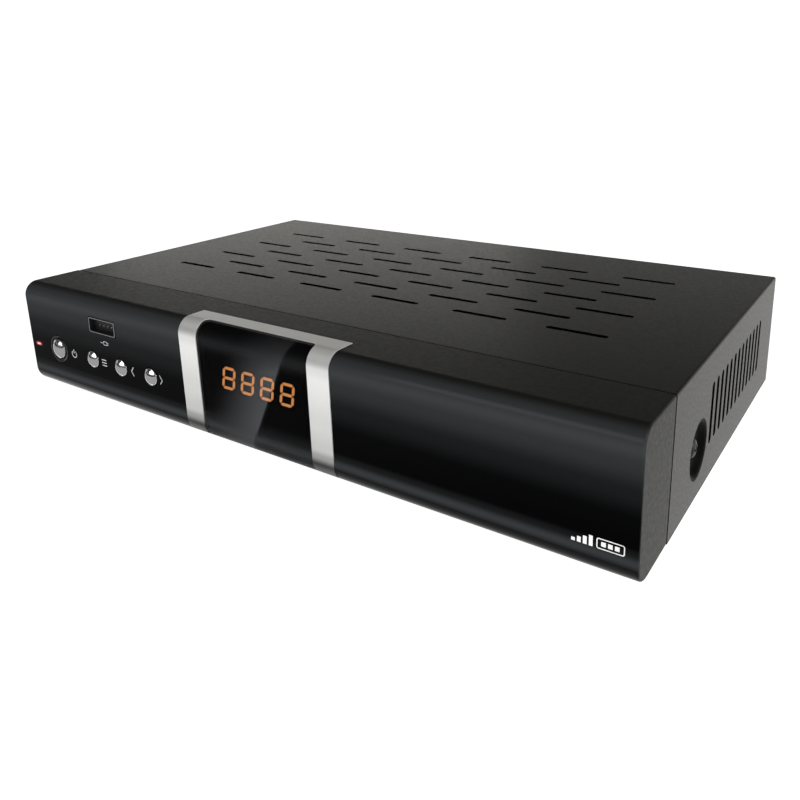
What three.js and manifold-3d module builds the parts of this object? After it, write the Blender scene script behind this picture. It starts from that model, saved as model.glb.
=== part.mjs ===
// Set-top recorder: bent sheet-metal case, wrapped plastic front, and the boards and sockets inside.
// Millimetres, +Z up. The front faces -Y. The origin is on the floor, under the middle of the object.
import * as THREE from 'three';
import { mergeVertices } from 'three/addons/utils/BufferGeometryUtils.js';
import Module from 'manifold-3d';

const wasm = await Module();
wasm.setup();

// ---------------------------------------------------------------- driving dimensions
// Inside the casing group, Y is measured from the seam between front and cover,
// and Z from a level just above the case's underside.
const HALF_WIDTH = 140;
const UNDERSIDE = -1.5;
const CASE_TOP = 46.1;
const COVER_DEPTH = 153;
const BEZEL_DEPTH = 27.3;
const BUTTON_REACH = 28.5;      // seam to the tip of the button domes
const SOCKET_REACH = 8.5;       // rear edge of the cover to the tip of the aerial sockets
const FOOT_HEIGHT = 3;
const SHEET = 0.8;
const GAP = 0.3;                // air between pieces that rest on each other
const OVERRUN = 5;              // how far a cutting tool runs past the wall that it cuts

const BACK = COVER_DEPTH;
const TOTAL_DEPTH = BUTTON_REACH + COVER_DEPTH + SOCKET_REACH;
const SEAM_Y = BUTTON_REACH - TOTAL_DEPTH / 2;

// Front moulding
const BEZEL_WALL = 2.4;
const BEZEL_TOP = 46.3;
const TOP_RADIUS = 6;
const BOTTOM_RADIUS = 8;
const FACE_LEAN = 0.034;        // the face runs back by this much per millimetre downwards
const POCKET_DEPTH = 1.4;       // recess that holds the trim and the window
const SKIN = 1.1;               // thickness of the trim and the window
const TRIM = { half: 36.5, inner: 27, back: -14, bar: -20.7, low: 1.2, proud: 0.2 };

// Front controls, as [x, z]
const CONTROL_Z = 18.8;
const POWER_BUTTON = [-118.7, CONTROL_Z];
const SMALL_BUTTONS = {
  menu_button: [-93.9, CONTROL_Z],
  left_button: [-75.1, CONTROL_Z],
  right_button: [-56.3, CONTROL_Z],
};
const POWER_CAP_R = 4.4;
const SMALL_CAP_R = 3.65;
const RING_R = 6;               // outside of the dish round the power button
const BUTTON_TRAVEL = 0.8;
const STATUS_LIGHT = { x: -134.3, z: 18.4, width: 4.6, height: 1.7 };
const USB = { x: -84.9, z: 34.7, width: 17, height: 6.4, wall: 0.5, front: -27.2, back: -11 };
const DIGITS_Z = 26.3;
const MODULE_FRONT = -24.6;     // face of the digit display, behind the window
const FRONT_BOARD = { x0: -137, x1: 44, front: -17.8, back: -16.2, z0: 5, z1: 40.5 };

// Vents
const TOP_SLOT = { length: 22.8, width: 2.6, pitchX: 38.7, shiftX: -1.5, pitchY: 13.5, firstY: 37.5, rows: 7 };
const SIDE_SLOT = { width: 3.3, z0: 12, z1: 34, pitch: 6.5, firstY: 46.7, count: 13 };
const SIDE_SCREW = { y: 31.9, z: 15.8, mouthR: 10, floorR: 7.8, depth: 2.4 };

// Boards and rear sockets
const BOARD_Z = 6.1;
const BOARD_THICK = 1.6;
const ON_BOARD = BOARD_Z + BOARD_THICK + GAP;
const PANEL_FRONT = 151;
const PANEL_BACK = PANEL_FRONT + SHEET;
const LNB = { lnb_in: 118, lnb_out: 96 };
const LNB_Z = 16;
const LNB_R = 4.7;
const RCA = { rca_video: 68, rca_left: 52, rca_right: 36 };
const RCA_Z = 14;
const RCA_R = 4.15;
const HDMI = { x: 9.5, width: 15, height: 6 };
const LAN = { x: -16, width: 16, height: 13.4 };
const MAINS = { x: -88, z: 16, halfX: 10, halfZ: 7 };
const SWITCH = { x: -119, z: 16, halfX: 9.6, halfZ: 6.9, pivotY: 150.5, tilt: 10 };
const REAR_SCREWS = [-110, 0, 110];
const REAR_SCREW_Z = 41.3;

// ---------------------------------------------------------------- materials
const material = (color, roughness, metalness = 0) =>
  new THREE.MeshStandardMaterial({ color, roughness, metalness });
const coated = material(0x3a3935, 0.6, 0.1);
const bareSteel = material(0xa8aaad, 0.35, 0.9);
const blackZinc = material(0x1c1c1d, 0.4, 0.6);
const glossBlack = material(0x0d0e10, 0.12);
const satinSilver = material(0xc9c9c6, 0.3, 0.9);
const smoked = material(0x08080a, 0.05);
const chrome = material(0xdcdddf, 0.1, 1);
const redLens = material(0xd0283a, 0.3);
const blackPlastic = material(0x17181a, 0.5);
const whitePlastic = material(0xe6e4de, 0.5);
const yellowPlastic = material(0xd9b21c, 0.45);
const redPlastic = material(0xb3202a, 0.45);
const rubber = material(0x1b1b1b, 0.9);
const laminate = material(0x1f5b38, 0.5);
const brownLaminate = material(0x8a6a3c, 0.6);
const aluminium = material(0xb9bcc0, 0.35, 0.9);
const ferrite = material(0x6b5a2c, 0.7);
const sleeve = material(0x222a4a, 0.4);
const cableGrey = material(0x9a9c9f, 0.6);

// ---------------------------------------------------------------- shape helpers
const QUARTER = Math.PI / 2;
const mirrored = [-1, 1];

/** Closed outline through corners [a, b, radius], each rounded by an arc. */
function outline(corners, steps = 4) {
  const at = (i) => new THREE.Vector2(...corners.at(i % corners.length).slice(0, 2));
  return corners.flatMap(([, , radius = 0], i) => {
    if (radius === 0) return [at(i)];
    const toBefore = at(i - 1).sub(at(i)).normalize();
    const toAfter = at(i + 1).sub(at(i)).normalize();
    const half = toBefore.angleTo(toAfter) / 2;
    const middle = toBefore.clone().add(toAfter).normalize();
    const centre = at(i).addScaledVector(middle, radius / Math.sin(half));
    const start = at(i).addScaledVector(toBefore, radius / Math.tan(half)).sub(centre);
    const end = at(i).addScaledVector(toAfter, radius / Math.tan(half)).sub(centre);
    const turn = Math.atan2(start.cross(end), start.dot(end));
    const arc = Array.from({ length: steps + 1 }, (_, k) => (turn * k) / steps);
    return arc.map((angle) => start.clone().rotateAround(new THREE.Vector2(), angle).add(centre));
  });
}

const rectangle = (a0, a1, b0, b1, radius = 0) =>
  [[a0, b0, radius], [a1, b0, radius], [a1, b1, radius], [a0, b1, radius]];
const roundEnded = (a0, a1, b0, b1) => rectangle(a0, a1, b0, b1, 0.48 * Math.min(a1 - a0, b1 - b0));

const extrude = (points, depth) =>
  new THREE.ExtrudeGeometry(new THREE.Shape(points), { depth, bevelEnabled: false, steps: 1 });
/** An outline in X and Y, standing from z0 to z1. */
const alongZ = (points, z0, z1) => extrude(points, z1 - z0).translate(0, 0, z0);
/** An outline in X and Z, running from y0 to y1. */
const alongY = (points, y0, y1) => extrude(points, y1 - y0).rotateX(QUARTER).translate(0, y1, 0);
/** An outline in Y and Z, running from x0 to x1. */
const alongX = (points, x0, x1) =>
  extrude(points, x1 - x0).rotateX(QUARTER).rotateZ(QUARTER).translate(x0, 0, 0);

const block = (x0, x1, y0, y1, z0, z1) =>
  new THREE.BoxGeometry(x1 - x0, y1 - y0, z1 - z0).translate((x0 + x1) / 2, (y0 + y1) / 2, (z0 + z1) / 2);
/** Round bars along each axis. The radius may differ at the far end. */
const barY = (x, z, y0, y1, r0, r1 = r0, sides = 16) =>
  new THREE.CylinderGeometry(r1, r0, y1 - y0, sides).translate(x, (y0 + y1) / 2, z);
const barZ = (x, y, z0, z1, r0, r1 = r0, sides = 16) =>
  new THREE.CylinderGeometry(r1, r0, z1 - z0, sides).rotateX(QUARTER).translate(x, y, (z0 + z1) / 2);
const barX = (y, z, x0, x1, r0, r1 = r0, sides = 16) =>
  new THREE.CylinderGeometry(r1, r0, x1 - x0, sides).rotateZ(-QUARTER).translate((x0 + x1) / 2, y, z);
/** A turned piece about a line along Y, from a profile of [radius, y]. */
const turned = (profile, x, z, sides = 16) =>
  new THREE.LatheGeometry(profile.map(([r, y]) => new THREE.Vector2(r, y)), sides).translate(x, 0, z);

/** The closed solid of a geometry, ready to be cut and joined. */
function solid(geometry) {
  const bare = geometry.clone();
  bare.deleteAttribute('normal');
  bare.deleteAttribute('uv');
  const merged = mergeVertices(bare, 1e-4);
  const triangles = [];
  for (let i = 0; i < merged.index.count; i += 3) {
    const [a, b, c] = [0, 1, 2].map((k) => merged.index.getX(i + k));
    if (a !== b && b !== c && c !== a) triangles.push(a, b, c);
  }
  return new wasm.Manifold(new wasm.Mesh({
    numProp: 3,
    vertProperties: new Float32Array(merged.attributes.position.array),
    triVerts: new Uint32Array(triangles),
  }));
}

const join = (...geometries) => geometries.map(solid).reduce((whole, piece) => whole.add(piece));
const cut = (whole, geometries) => geometries.reduce((left, tool) => left.subtract(solid(tool)), whole);

function surface(manifold) {
  const mesh = manifold.getMesh();
  const geometry = new THREE.BufferGeometry();
  geometry.setAttribute('position', new THREE.Float32BufferAttribute(mesh.vertProperties, 3));
  geometry.setIndex([...mesh.triVerts]);
  return geometry;
}

const recorder = new THREE.Group();
const casing = new THREE.Group();
casing.position.set(0, SEAM_Y, FOOT_HEIGHT - UNDERSIDE);
recorder.add(casing);

function add(name, shape, finish) {
  const geometry = shape.isBufferGeometry ? shape : surface(shape);
  geometry.computeVertexNormals();
  const mesh = new THREE.Mesh(geometry, finish);
  mesh.name = name;
  casing.add(mesh);
  return mesh;
}

// ---------------------------------------------------------------- sheet-metal case
/** Slots of one top row: six in even rows, five between them in odd rows. */
function topSlots() {
  const tools = [];
  for (let row = 0; row < TOP_SLOT.rows; row += 1) {
    const count = row % 2 === 0 ? 6 : 5;
    const y = TOP_SLOT.firstY + row * TOP_SLOT.pitchY;
    for (let i = 0; i < count; i += 1) {
      const x = (i - (count - 1) / 2) * TOP_SLOT.pitchX + TOP_SLOT.shiftX;
      const slot = outline(roundEnded(x - TOP_SLOT.length / 2, x + TOP_SLOT.length / 2,
        y - TOP_SLOT.width / 2, y + TOP_SLOT.width / 2), 1);
      tools.push(alongZ(slot, CASE_TOP - OVERRUN, CASE_TOP + OVERRUN));
    }
  }
  return tools;
}

function sideSlots() {
  return Array.from({ length: SIDE_SLOT.count }, (_, i) => {
    const y = SIDE_SLOT.firstY + i * SIDE_SLOT.pitch;
    const half = SIDE_SLOT.width / 2;
    const slot = outline(roundEnded(y - half, y + half, SIDE_SLOT.z0, SIDE_SLOT.z1), 1);
    return alongX(slot, -HALF_WIDTH - OVERRUN, HALF_WIDTH + OVERRUN);
  });
}

/** A bar along X on one side of the case, from outer to inner distance off the middle. */
const sideBar = (side, outer, inner, outerR, innerR, sides = 20) => (side > 0
  ? barX(SIDE_SCREW.y, SIDE_SCREW.z, inner, outer, innerR, outerR, sides)
  : barX(SIDE_SCREW.y, SIDE_SCREW.z, -outer, -inner, outerR, innerR, sides));

const LIP_LOW = 38;
const FLOOR_X = HALF_WIDTH - SIDE_SCREW.depth;
const SCREW_HOLE_R = 1.8;
const sideScrewHole = (side) => sideBar(side, HALF_WIDTH, FLOOR_X - OVERRUN, SCREW_HOLE_R, SCREW_HOLE_R, 12);

function topCover() {
  const inner = HALF_WIDTH - SHEET;
  const ceiling = CASE_TOP - SHEET;
  const bent = outline([
    [-HALF_WIDTH, UNDERSIDE], [-HALF_WIDTH, CASE_TOP, 1.2], [HALF_WIDTH, CASE_TOP, 1.2],
    [HALF_WIDTH, UNDERSIDE], [inner, UNDERSIDE], [inner, ceiling, 0.4], [-inner, ceiling, 0.4],
    [-inner, UNDERSIDE],
  ], 3);
  const rearLip = block(-inner - 0.4, inner + 0.4, BACK - SHEET, BACK, LIP_LOW, ceiling + 0.4);
  const cups = mirrored.map((side) =>
    sideBar(side, inner + 0.4, FLOOR_X - SHEET, SIDE_SCREW.mouthR + SHEET, SIDE_SCREW.floorR + SHEET));
  const recesses = mirrored.map((side) =>
    sideBar(side, HALF_WIDTH + 0.01, FLOOR_X, SIDE_SCREW.mouthR, SIDE_SCREW.floorR));
  const screwHoles = mirrored.map(sideScrewHole);
  const rearHoles = REAR_SCREWS.map((x) =>
    barY(x, REAR_SCREW_Z, BACK - OVERRUN, BACK + OVERRUN, SCREW_HOLE_R));
  const whole = join(alongY(bent, GAP, BACK), rearLip, ...cups);
  return cut(whole, [...recesses, ...screwHoles, ...rearHoles, ...topSlots(), ...sideSlots()]);
}
add('top_cover', topCover(), coated);

const BASE_HALF = HALF_WIDTH - SHEET - 0.4;
const BASE_FRONT = 6;
const BASE_BACK = PANEL_FRONT - 0.4;
const BASE_TOP = UNDERSIDE + SHEET;
const TAB = { outer: FLOOR_X - SHEET - GAP, y0: 20, y1: 44, top: 24 };
const BOSSES = [[-126, 68], [-60, 68], [-126, 124], [-60, 124], [-40, 68], [126, 68], [-40, 136], [74, 68]];

function chassisBase() {
  const floor = block(-BASE_HALF, BASE_HALF, BASE_FRONT, BASE_BACK, UNDERSIDE, BASE_TOP);
  const flanges = mirrored.map((side) => {
    const x = side * (BASE_HALF - SHEET / 2);
    return block(x - SHEET / 2, x + SHEET / 2, BASE_FRONT, BASE_BACK, UNDERSIDE, 9);
  });
  const notches = mirrored.map((side) => {
    const x = side * BASE_HALF;
    return block(x - 2, x + 2, TAB.y0 - 2, TAB.y1 + 2, BASE_TOP, 12);
  });
  const tabs = mirrored.map((side) => {
    const x = side * (TAB.outer - SHEET / 2);
    return block(x - SHEET / 2, x + SHEET / 2, TAB.y0, TAB.y1, UNDERSIDE, TAB.top);
  });
  const bosses = BOSSES.map(([x, y]) => barZ(x, y, UNDERSIDE, BOARD_Z - GAP, 4, 3, 12));
  const vents = [];
  for (let row = 0; row < 3; row += 1) {
    for (let i = 0; i < 5; i += 1) {
      const x = (i - 2) * TOP_SLOT.pitchX;
      const y = 86 + row * TOP_SLOT.pitchY;
      const slot = outline(roundEnded(x - 11, x + 11, y - 1.1, y + 1.1), 1);
      vents.push(alongZ(slot, -OVERRUN, OVERRUN));
    }
  }
  const folded = cut(join(floor, ...flanges), notches);
  const whole = [...tabs, ...bosses].reduce((sum, piece) => sum.add(solid(piece)), folded);
  return cut(whole, [...mirrored.map(sideScrewHole), ...vents]);
}
add('chassis_base', chassisBase(), bareSteel);

const CUT = 0.4;                // clearance round each socket in the rear panel
const centred = (x, z, halfX, halfZ, radius = 0) =>
  rectangle(x - halfX, x + halfX, z - halfZ, z + halfZ, radius);
const throughPanel = (corners) => alongY(outline(corners, 1), PANEL_FRONT - OVERRUN, PANEL_BACK + OVERRUN);

function rearPanel() {
  const low = BASE_TOP + GAP;
  const wall = block(-BASE_HALF, BASE_HALF, PANEL_FRONT, PANEL_BACK, low, CASE_TOP - SHEET - 0.4);
  const footHalf = BASE_HALF - SHEET - GAP;
  const foot = block(-footHalf, footHalf, PANEL_FRONT - 8, PANEL_BACK, low, low + SHEET);
  const round = (x, z, r) => barY(x, z, PANEL_FRONT - OVERRUN, PANEL_BACK + OVERRUN, r, r, 16);
  const hdmiZ = ON_BOARD + HDMI.height / 2;
  const lanZ = ON_BOARD + LAN.height / 2;
  const tools = [
    ...Object.values(LNB).map((x) => round(x, LNB_Z, LNB_R + CUT)),
    ...Object.values(RCA).map((x) => round(x, RCA_Z, RCA_R + CUT)),
    ...REAR_SCREWS.map((x) => round(x, REAR_SCREW_Z, SCREW_HOLE_R)),
    throughPanel(centred(HDMI.x, hdmiZ, HDMI.width / 2 + CUT, HDMI.height / 2 + CUT)),
    throughPanel(centred(LAN.x, lanZ, LAN.width / 2 + CUT, LAN.height / 2 + CUT)),
    throughPanel(centred(MAINS.x, MAINS.z, MAINS.halfX + GAP, MAINS.halfZ + GAP)),
    throughPanel(centred(SWITCH.x, SWITCH.z, SWITCH.halfX + GAP, SWITCH.halfZ + GAP)),
  ];
  for (let i = 0; i < 12; i += 1) {
    const x = -66 + i * 6;
    tools.push(throughPanel(roundEnded(x - 1.1, x + 1.1, 28, 36)));
  }
  return cut(join(wall, foot), tools);
}
add('rear_panel', rearPanel(), coated);

for (const [end, y] of [['front', 22], ['rear', 132]]) {
  for (const side of mirrored) {
    const name = `foot_${end}_${side > 0 ? 'right' : 'left'}`;
    add(name, barZ(side * 112, y, UNDERSIDE - FOOT_HEIGHT, UNDERSIDE - GAP, 5.8, 6.5), rubber);
  }
}

/** Pan-head screw: the head's back is at seat, the shank runs the other way. */
const pan = (headR, headThick, shankR, shankLength, seat) => [
  [0, seat - shankLength], [shankR, seat - shankLength], [shankR, seat],
  [headR, seat], [headR, seat + 0.6 * headThick], [0.55 * headR, seat + headThick], [0, seat + headThick],
];
for (const side of mirrored) {
  const seat = FLOOR_X + GAP;
  const screw = turned(pan(3.3, 1.5, 1.5, 4.2, seat), 0, 0, 12).rotateZ(-side * QUARTER);
  const name = side > 0 ? 'side_screw_right' : 'side_screw_left';
  add(name, screw.translate(0, SIDE_SCREW.y, SIDE_SCREW.z), blackZinc);
}
REAR_SCREWS.forEach((x, i) => {
  add(`rear_screw_${i + 1}`, turned(pan(3, 1.7, 1.5, 5, BACK + GAP), x, REAR_SCREW_Z, 12), bareSteel);
});

// ---------------------------------------------------------------- front moulding
/** Y of the front face at a height. */
const faceY = (z) => -BEZEL_DEPTH + (BEZEL_TOP - TOP_RADIUS - z) * FACE_LEAN;

/** The front's side profile in Y and Z, moved inwards by inset and closed at y = back. */
function bezelProfile(inset, back) {
  const top = BEZEL_TOP - inset;
  const bottom = UNDERSIDE + inset;
  return outline([
    [back, bottom], [faceY(bottom) + inset, bottom, BOTTOM_RADIUS - inset],
    [faceY(top) + inset, top, TOP_RADIUS - inset], [back, top],
  ], 6);
}

/** The layer of the front between two insets, within a box of x, y and z. */
function skinLayer(outer, inner, half, y1, z0) {
  const layer = solid(alongX(bezelProfile(outer, OVERRUN), -half, half))
    .subtract(solid(alongX(bezelProfile(inner, 2 * OVERRUN), -half - 1, half + 1)));
  return layer.intersect(solid(block(-half, half, -2 * BEZEL_DEPTH, y1, z0, 2 * CASE_TOP)));
}

const FRONT_POSTS = [[-112, 34], [-58, 34], [39.5, 34]];
/** The status light's outline, widened all round. */
function statusLight(widen) {
  const { x, z, width, height } = STATUS_LIGHT;
  return centred(x, z, width / 2 + widen, height / 2 + widen, 0.8 + widen);
}
const RING_FRONT = faceY(CONTROL_Z) - 0.5;
const RING_BACK = faceY(CONTROL_Z) + 0.9;
const buttonHole = (x, z, r) => barY(x, z, -2 * BEZEL_DEPTH, faceY(z) + BEZEL_WALL + 1, r);

function frontBezel() {
  const innerHalf = HALF_WIDTH - BEZEL_WALL;
  const shell = solid(alongX(bezelProfile(0, 0), -HALF_WIDTH, HALF_WIDTH))
    .subtract(solid(alongX(bezelProfile(BEZEL_WALL, OVERRUN), -innerHalf, innerHalf)));
  const rimOuter = solid(block(-138.6, 138.6, -1, 5, UNDERSIDE + 1.2, 44.2));
  const rim = rimOuter.subtract(solid(block(-137.1, 137.1, -2, 6, UNDERSIDE + 2.7, 42.7)));
  const posts = FRONT_POSTS.map(([x, z]) => barY(x, z, faceY(z) + 2, FRONT_BOARD.front - GAP, 2.6, 2.6, 12));
  const pocket = skinLayer(-1, POCKET_DEPTH, TRIM.half + GAP, TRIM.back + GAP, TRIM.low - GAP);
  const body = posts.reduce((whole, post) => whole.add(solid(post)), shell.add(rim)).subtract(pocket);
  const usbHole = centred(USB.x, USB.z, USB.width / 2 + CUT, USB.height / 2 + CUT);
  const throughFace = (corners) => alongY(outline(corners, 3), -2 * BEZEL_DEPTH, -20);
  return cut(body, [
    block(-25, 25, -2 * BEZEL_DEPTH, -20, 9, 37.5),
    throughFace(usbHole),
    throughFace(statusLight(GAP)),
    barY(...POWER_BUTTON, -2 * BEZEL_DEPTH, RING_BACK + GAP, RING_R + GAP, RING_R + GAP, 28),
    buttonHole(...POWER_BUTTON, POWER_CAP_R + CUT),
    ...Object.values(SMALL_BUTTONS).map(([x, z]) => buttonHole(x, z, SMALL_CAP_R + CUT)),
  ]);
}
add('front_bezel', frontBezel(), glossBlack);

const trimBand = skinLayer(-TRIM.proud, SKIN, TRIM.half, TRIM.back, TRIM.low);
const windowGap = block(-TRIM.inner, TRIM.inner, -2 * BEZEL_DEPTH, TRIM.bar, -1, 2 * CASE_TOP);
add('silver_trim', cut(trimBand, [windowGap]), satinSilver);
add('display_window', skinLayer(0, SKIN, TRIM.inner - GAP, TRIM.bar - GAP, TRIM.low), smoked);

// Push buttons: a domed cap with a flange behind the wall of the front.
const FLANGE_FRONT = faceY(CONTROL_Z) + BEZEL_WALL + GAP;
const FLANGE_BACK = FLANGE_FRONT + 0.8;
const DOME_EDGE = faceY(CONTROL_Z) - 0.5;

function buttonCap([x, z], radius) {
  const rise = DOME_EDGE + BUTTON_REACH;
  const dome = Array.from({ length: 5 }, (_, k) => {
    const angle = (k / 4) * QUARTER;
    return [radius * Math.sin(angle), DOME_EDGE - rise * Math.cos(angle)];
  });
  const rim = radius + 1.2;
  const flange = [[radius, FLANGE_FRONT], [rim, FLANGE_FRONT], [rim, FLANGE_BACK], [0, FLANGE_BACK]];
  return turned([...dome, ...flange], x, z);
}
add('power_button', buttonCap(POWER_BUTTON, POWER_CAP_R), chrome);
for (const [name, place] of Object.entries(SMALL_BUTTONS)) add(name, buttonCap(place, SMALL_CAP_R), chrome);

const ring = barY(...POWER_BUTTON, RING_FRONT, RING_BACK, RING_R, RING_R, 28);
add('power_button_ring', cut(solid(ring), [buttonHole(...POWER_BUTTON, POWER_CAP_R + CUT)]), chrome);

add('status_light_pipe', alongY(outline(statusLight(0), 3), faceY(STATUS_LIGHT.z) - 0.2, -22), redLens);

/** A rectangular metal tube that is open at its front and closed at its back. */
function socketShell(x, z, width, height, wall, y0, y1, openAtFront) {
  const outer = block(x - width / 2, x + width / 2, y0, y1, z - height / 2, z + height / 2);
  const [in0, in1] = openAtFront ? [y0 - OVERRUN, y1 - wall] : [y0 + wall, y1 + OVERRUN];
  const halfX = width / 2 - wall;
  const halfZ = height / 2 - wall;
  const inner = block(x - halfX, x + halfX, in0, in1, z - halfZ, z + halfZ);
  return cut(solid(outer), [inner]);
}
const usbShell = socketShell(USB.x, USB.z, USB.width, USB.height, USB.wall, USB.front, USB.back, true);
add('usb_shell', usbShell, bareSteel);
const usbTongue = block(USB.x - 6.5, USB.x + 6.5, USB.front + 2, USB.back - 1, USB.z + 0.2, USB.z + 2);
add('usb_tongue', usbTongue, blackPlastic);

// ---------------------------------------------------------------- front board
function frontBoard() {
  const { x0, x1, front, back, z0, z1 } = FRONT_BOARD;
  const notchHalf = USB.width / 2 + 1;
  const notchLow = USB.z - USB.height / 2 - 1;
  const usbNotch = block(USB.x - notchHalf, USB.x + notchHalf, front - 1, back + 1, notchLow, z1 + 1);
  return cut(solid(block(x0, x1, front, back, z0, z1)), [usbNotch]);
}
add('front_board', frontBoard(), laminate);
const PARTS_BACK = FRONT_BOARD.front - GAP;
add('digit_display', block(-19.5, 19.5, MODULE_FRONT, PARTS_BACK, DIGITS_Z - 7, DIGITS_Z + 7), blackPlastic);
add('ir_receiver', block(12, 18, -23, PARTS_BACK, 11, 17), blackPlastic);
add('status_led', barY(STATUS_LIGHT.x, STATUS_LIGHT.z, -21.6, PARTS_BACK, 1.5, 1.5, 12), redLens);

const PLUNGER_TIP = FLANGE_BACK + BUTTON_TRAVEL + GAP;
for (const [name, [x, z]] of Object.entries({ power_button: POWER_BUTTON, ...SMALL_BUTTONS })) {
  const body = block(x - 3, x + 3, PLUNGER_TIP + 1, PARTS_BACK, z - 3, z + 3);
  const plunger = barY(x, z, PLUNGER_TIP, PLUNGER_TIP + 2, 1.7, 1.7, 12);
  add(name.replace('button', 'switch'), join(body, plunger), blackPlastic);
}

// ---------------------------------------------------------------- main board and supply
add('main_board', block(-48, 132, 62, 149.5, BOARD_Z, BOARD_Z + BOARD_THICK), laminate);
add('supply_board', block(-132, -54, 62, 130, BOARD_Z, BOARD_Z + BOARD_THICK), brownLaminate);

add('main_chip', block(16, 43, 84, 111, ON_BOARD, ON_BOARD + 2), blackPlastic);
add('memory_chip', block(54, 68, 88, 106, ON_BOARD, ON_BOARD + 1.2), blackPlastic);

/** Outline of a plate with upright fins, in the plate's length and its height. */
function comb(a0, a1, b0, base, height, fins, finWidth) {
  const pitch = (a1 - a0 - finWidth) / (fins - 1);
  const teeth = Array.from({ length: fins }, (_, i) => a0 + i * pitch).reverse();
  const root = b0 + base;
  const tip = b0 + height;
  const upper = teeth.flatMap((a) => [[a + finWidth, root], [a + finWidth, tip], [a, tip], [a, root]]);
  return outline([[a0, b0], [a1, b0], ...upper.slice(1, -1)]);
}
add('chip_heatsink', alongY(comb(14, 45, ON_BOARD + 2 + GAP, 2, 13, 8, 1.2), 82, 113), aluminium);
add('supply_heatsink', alongZ(comb(-86, -58, 110, 2, 10, 5, 1.5), ON_BOARD, 36), aluminium);

const windingZ = ON_BOARD + 4;
const coreFoot = block(-94, -70, 78, 100, ON_BOARD, windingZ);
const winding = block(-92, -72, 82, 96, windingZ - 1, 26);
const coreCap = block(-94, -70, 78, 100, 25, 29);
add('transformer', join(coreFoot, winding, coreCap), ferrite);
add('mains_capacitor', barZ(-114, 88, ON_BOARD, 36, 8.5, 8.5, 20), sleeve);
add('output_capacitor', barZ(-62, 76, ON_BOARD, 26, 5, 5), sleeve);

/** A flat cable: a route of [a, b] with constant height, as a closed outline. */
const strap = (route, thick) => outline([...route, ...route.map(([a, b]) => [a, b + thick]).reverse()]);
const ribbonRoute = [[FRONT_BOARD.back + GAP, 12], [-6, 12], [8, 4], [50, 4], [58, 9.4], [70, 9.4]];
add('ribbon_cable', alongX(strap(ribbonRoute, SHEET), 0, 22), cableGrey);
const supplyLoop = [
  [-61, ON_BOARD], [-61, 17], [-41, 17], [-41, ON_BOARD],
  [-42.2, ON_BOARD], [-42.2, 15.8], [-59.8, 15.8], [-59.8, ON_BOARD],
];
add('supply_cable', alongY(outline(supplyLoop), 92, 104), cableGrey);

// ---------------------------------------------------------------- rear sockets
const CAN_BACK = 146;
add('tuner_can', block(84, 130, 104, CAN_BACK, ON_BOARD, 25), bareSteel);
for (const [name, x] of Object.entries(LNB)) {
  const tip = BACK + SOCKET_REACH;
  const root = CAN_BACK + GAP;
  const barrel = [[0, root], [LNB_R, root], [LNB_R, tip], [2.4, tip], [2.4, tip - 6], [0, tip - 6]];
  add(`${name}_socket`, turned(barrel, x, LNB_Z), chrome);
  const nut = barY(x, LNB_Z, PANEL_BACK + GAP, PANEL_BACK + GAP + 2.4, 6.8, 6.8, 6);
  const nutHole = barY(x, LNB_Z, PANEL_BACK, PANEL_BACK + OVERRUN, LNB_R + GAP);
  add(`${name}_nut`, cut(solid(nut), [nutHole]), chrome);
}

const AV_BACK = PANEL_FRONT - GAP;
add('av_block', block(28, 76, 138, AV_BACK, ON_BOARD, 20.5), blackPlastic);
const jackFinish = { rca_video: yellowPlastic, rca_left: whitePlastic, rca_right: redPlastic };
for (const [name, x] of Object.entries(RCA)) {
  const tip = BACK + 7.5;
  const root = AV_BACK + GAP;
  const barrel = [[0, root], [RCA_R, root], [RCA_R, tip], [1.7, tip], [1.7, tip - 7], [0, tip - 7]];
  add(name, turned(barrel, x, RCA_Z), jackFinish[name]);
}

const SOCKET_FACE = PANEL_BACK + 0.8;
const hdmiZ = ON_BOARD + HDMI.height / 2;
const hdmiShell = socketShell(HDMI.x, hdmiZ, HDMI.width, HDMI.height, 0.5, 140, SOCKET_FACE, false);
add('hdmi_shell', hdmiShell, bareSteel);
const hdmiTongue = block(HDMI.x - 5.5, HDMI.x + 5.5, 141, SOCKET_FACE - 1.5, hdmiZ - 0.6, hdmiZ + 0.6);
add('hdmi_tongue', hdmiTongue, blackPlastic);

const lanZ = ON_BOARD + LAN.height / 2;
const lanHalf = LAN.width / 2;
const lanBody = block(LAN.x - lanHalf, LAN.x + lanHalf, 132, SOCKET_FACE, ON_BOARD, ON_BOARD + LAN.height);
const lanMouth = block(LAN.x - 6, LAN.x + 6, SOCKET_FACE - 12, SOCKET_FACE + OVERRUN, lanZ - 5, lanZ + 3.4);
const lanKey = block(LAN.x - 3, LAN.x + 3, SOCKET_FACE - 12, SOCKET_FACE + OVERRUN, lanZ + 3.2, lanZ + 5);
add('lan_socket', cut(solid(lanBody), [lanMouth, lanKey]), bareSteel);

function mainsInlet() {
  const { x, z, halfX, halfZ } = MAINS;
  const flangeShape = outline(centred(x, z, halfX + 1.5, halfZ + 1, 1.5), 3);
  const flange = alongY(flangeShape, PANEL_BACK + GAP, PANEL_BACK + 2);
  const body = block(x - halfX, x + halfX, 136, PANEL_BACK + 1, z - halfZ, z + halfZ);
  const recess = alongY(outline(centred(x, z, 8.2, 4.2, 4), 6), PANEL_BACK - 8, PANEL_BACK + OVERRUN);
  const pins = mirrored.map((side) => barY(x + side * 4.3, z, PANEL_BACK - 9, PANEL_BACK - 1, 1.2, 1.2, 12));
  return pins.reduce((whole, pin) => whole.add(solid(pin)), cut(join(flange, body), [recess]));
}
add('mains_inlet', mainsInlet(), blackPlastic);

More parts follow.
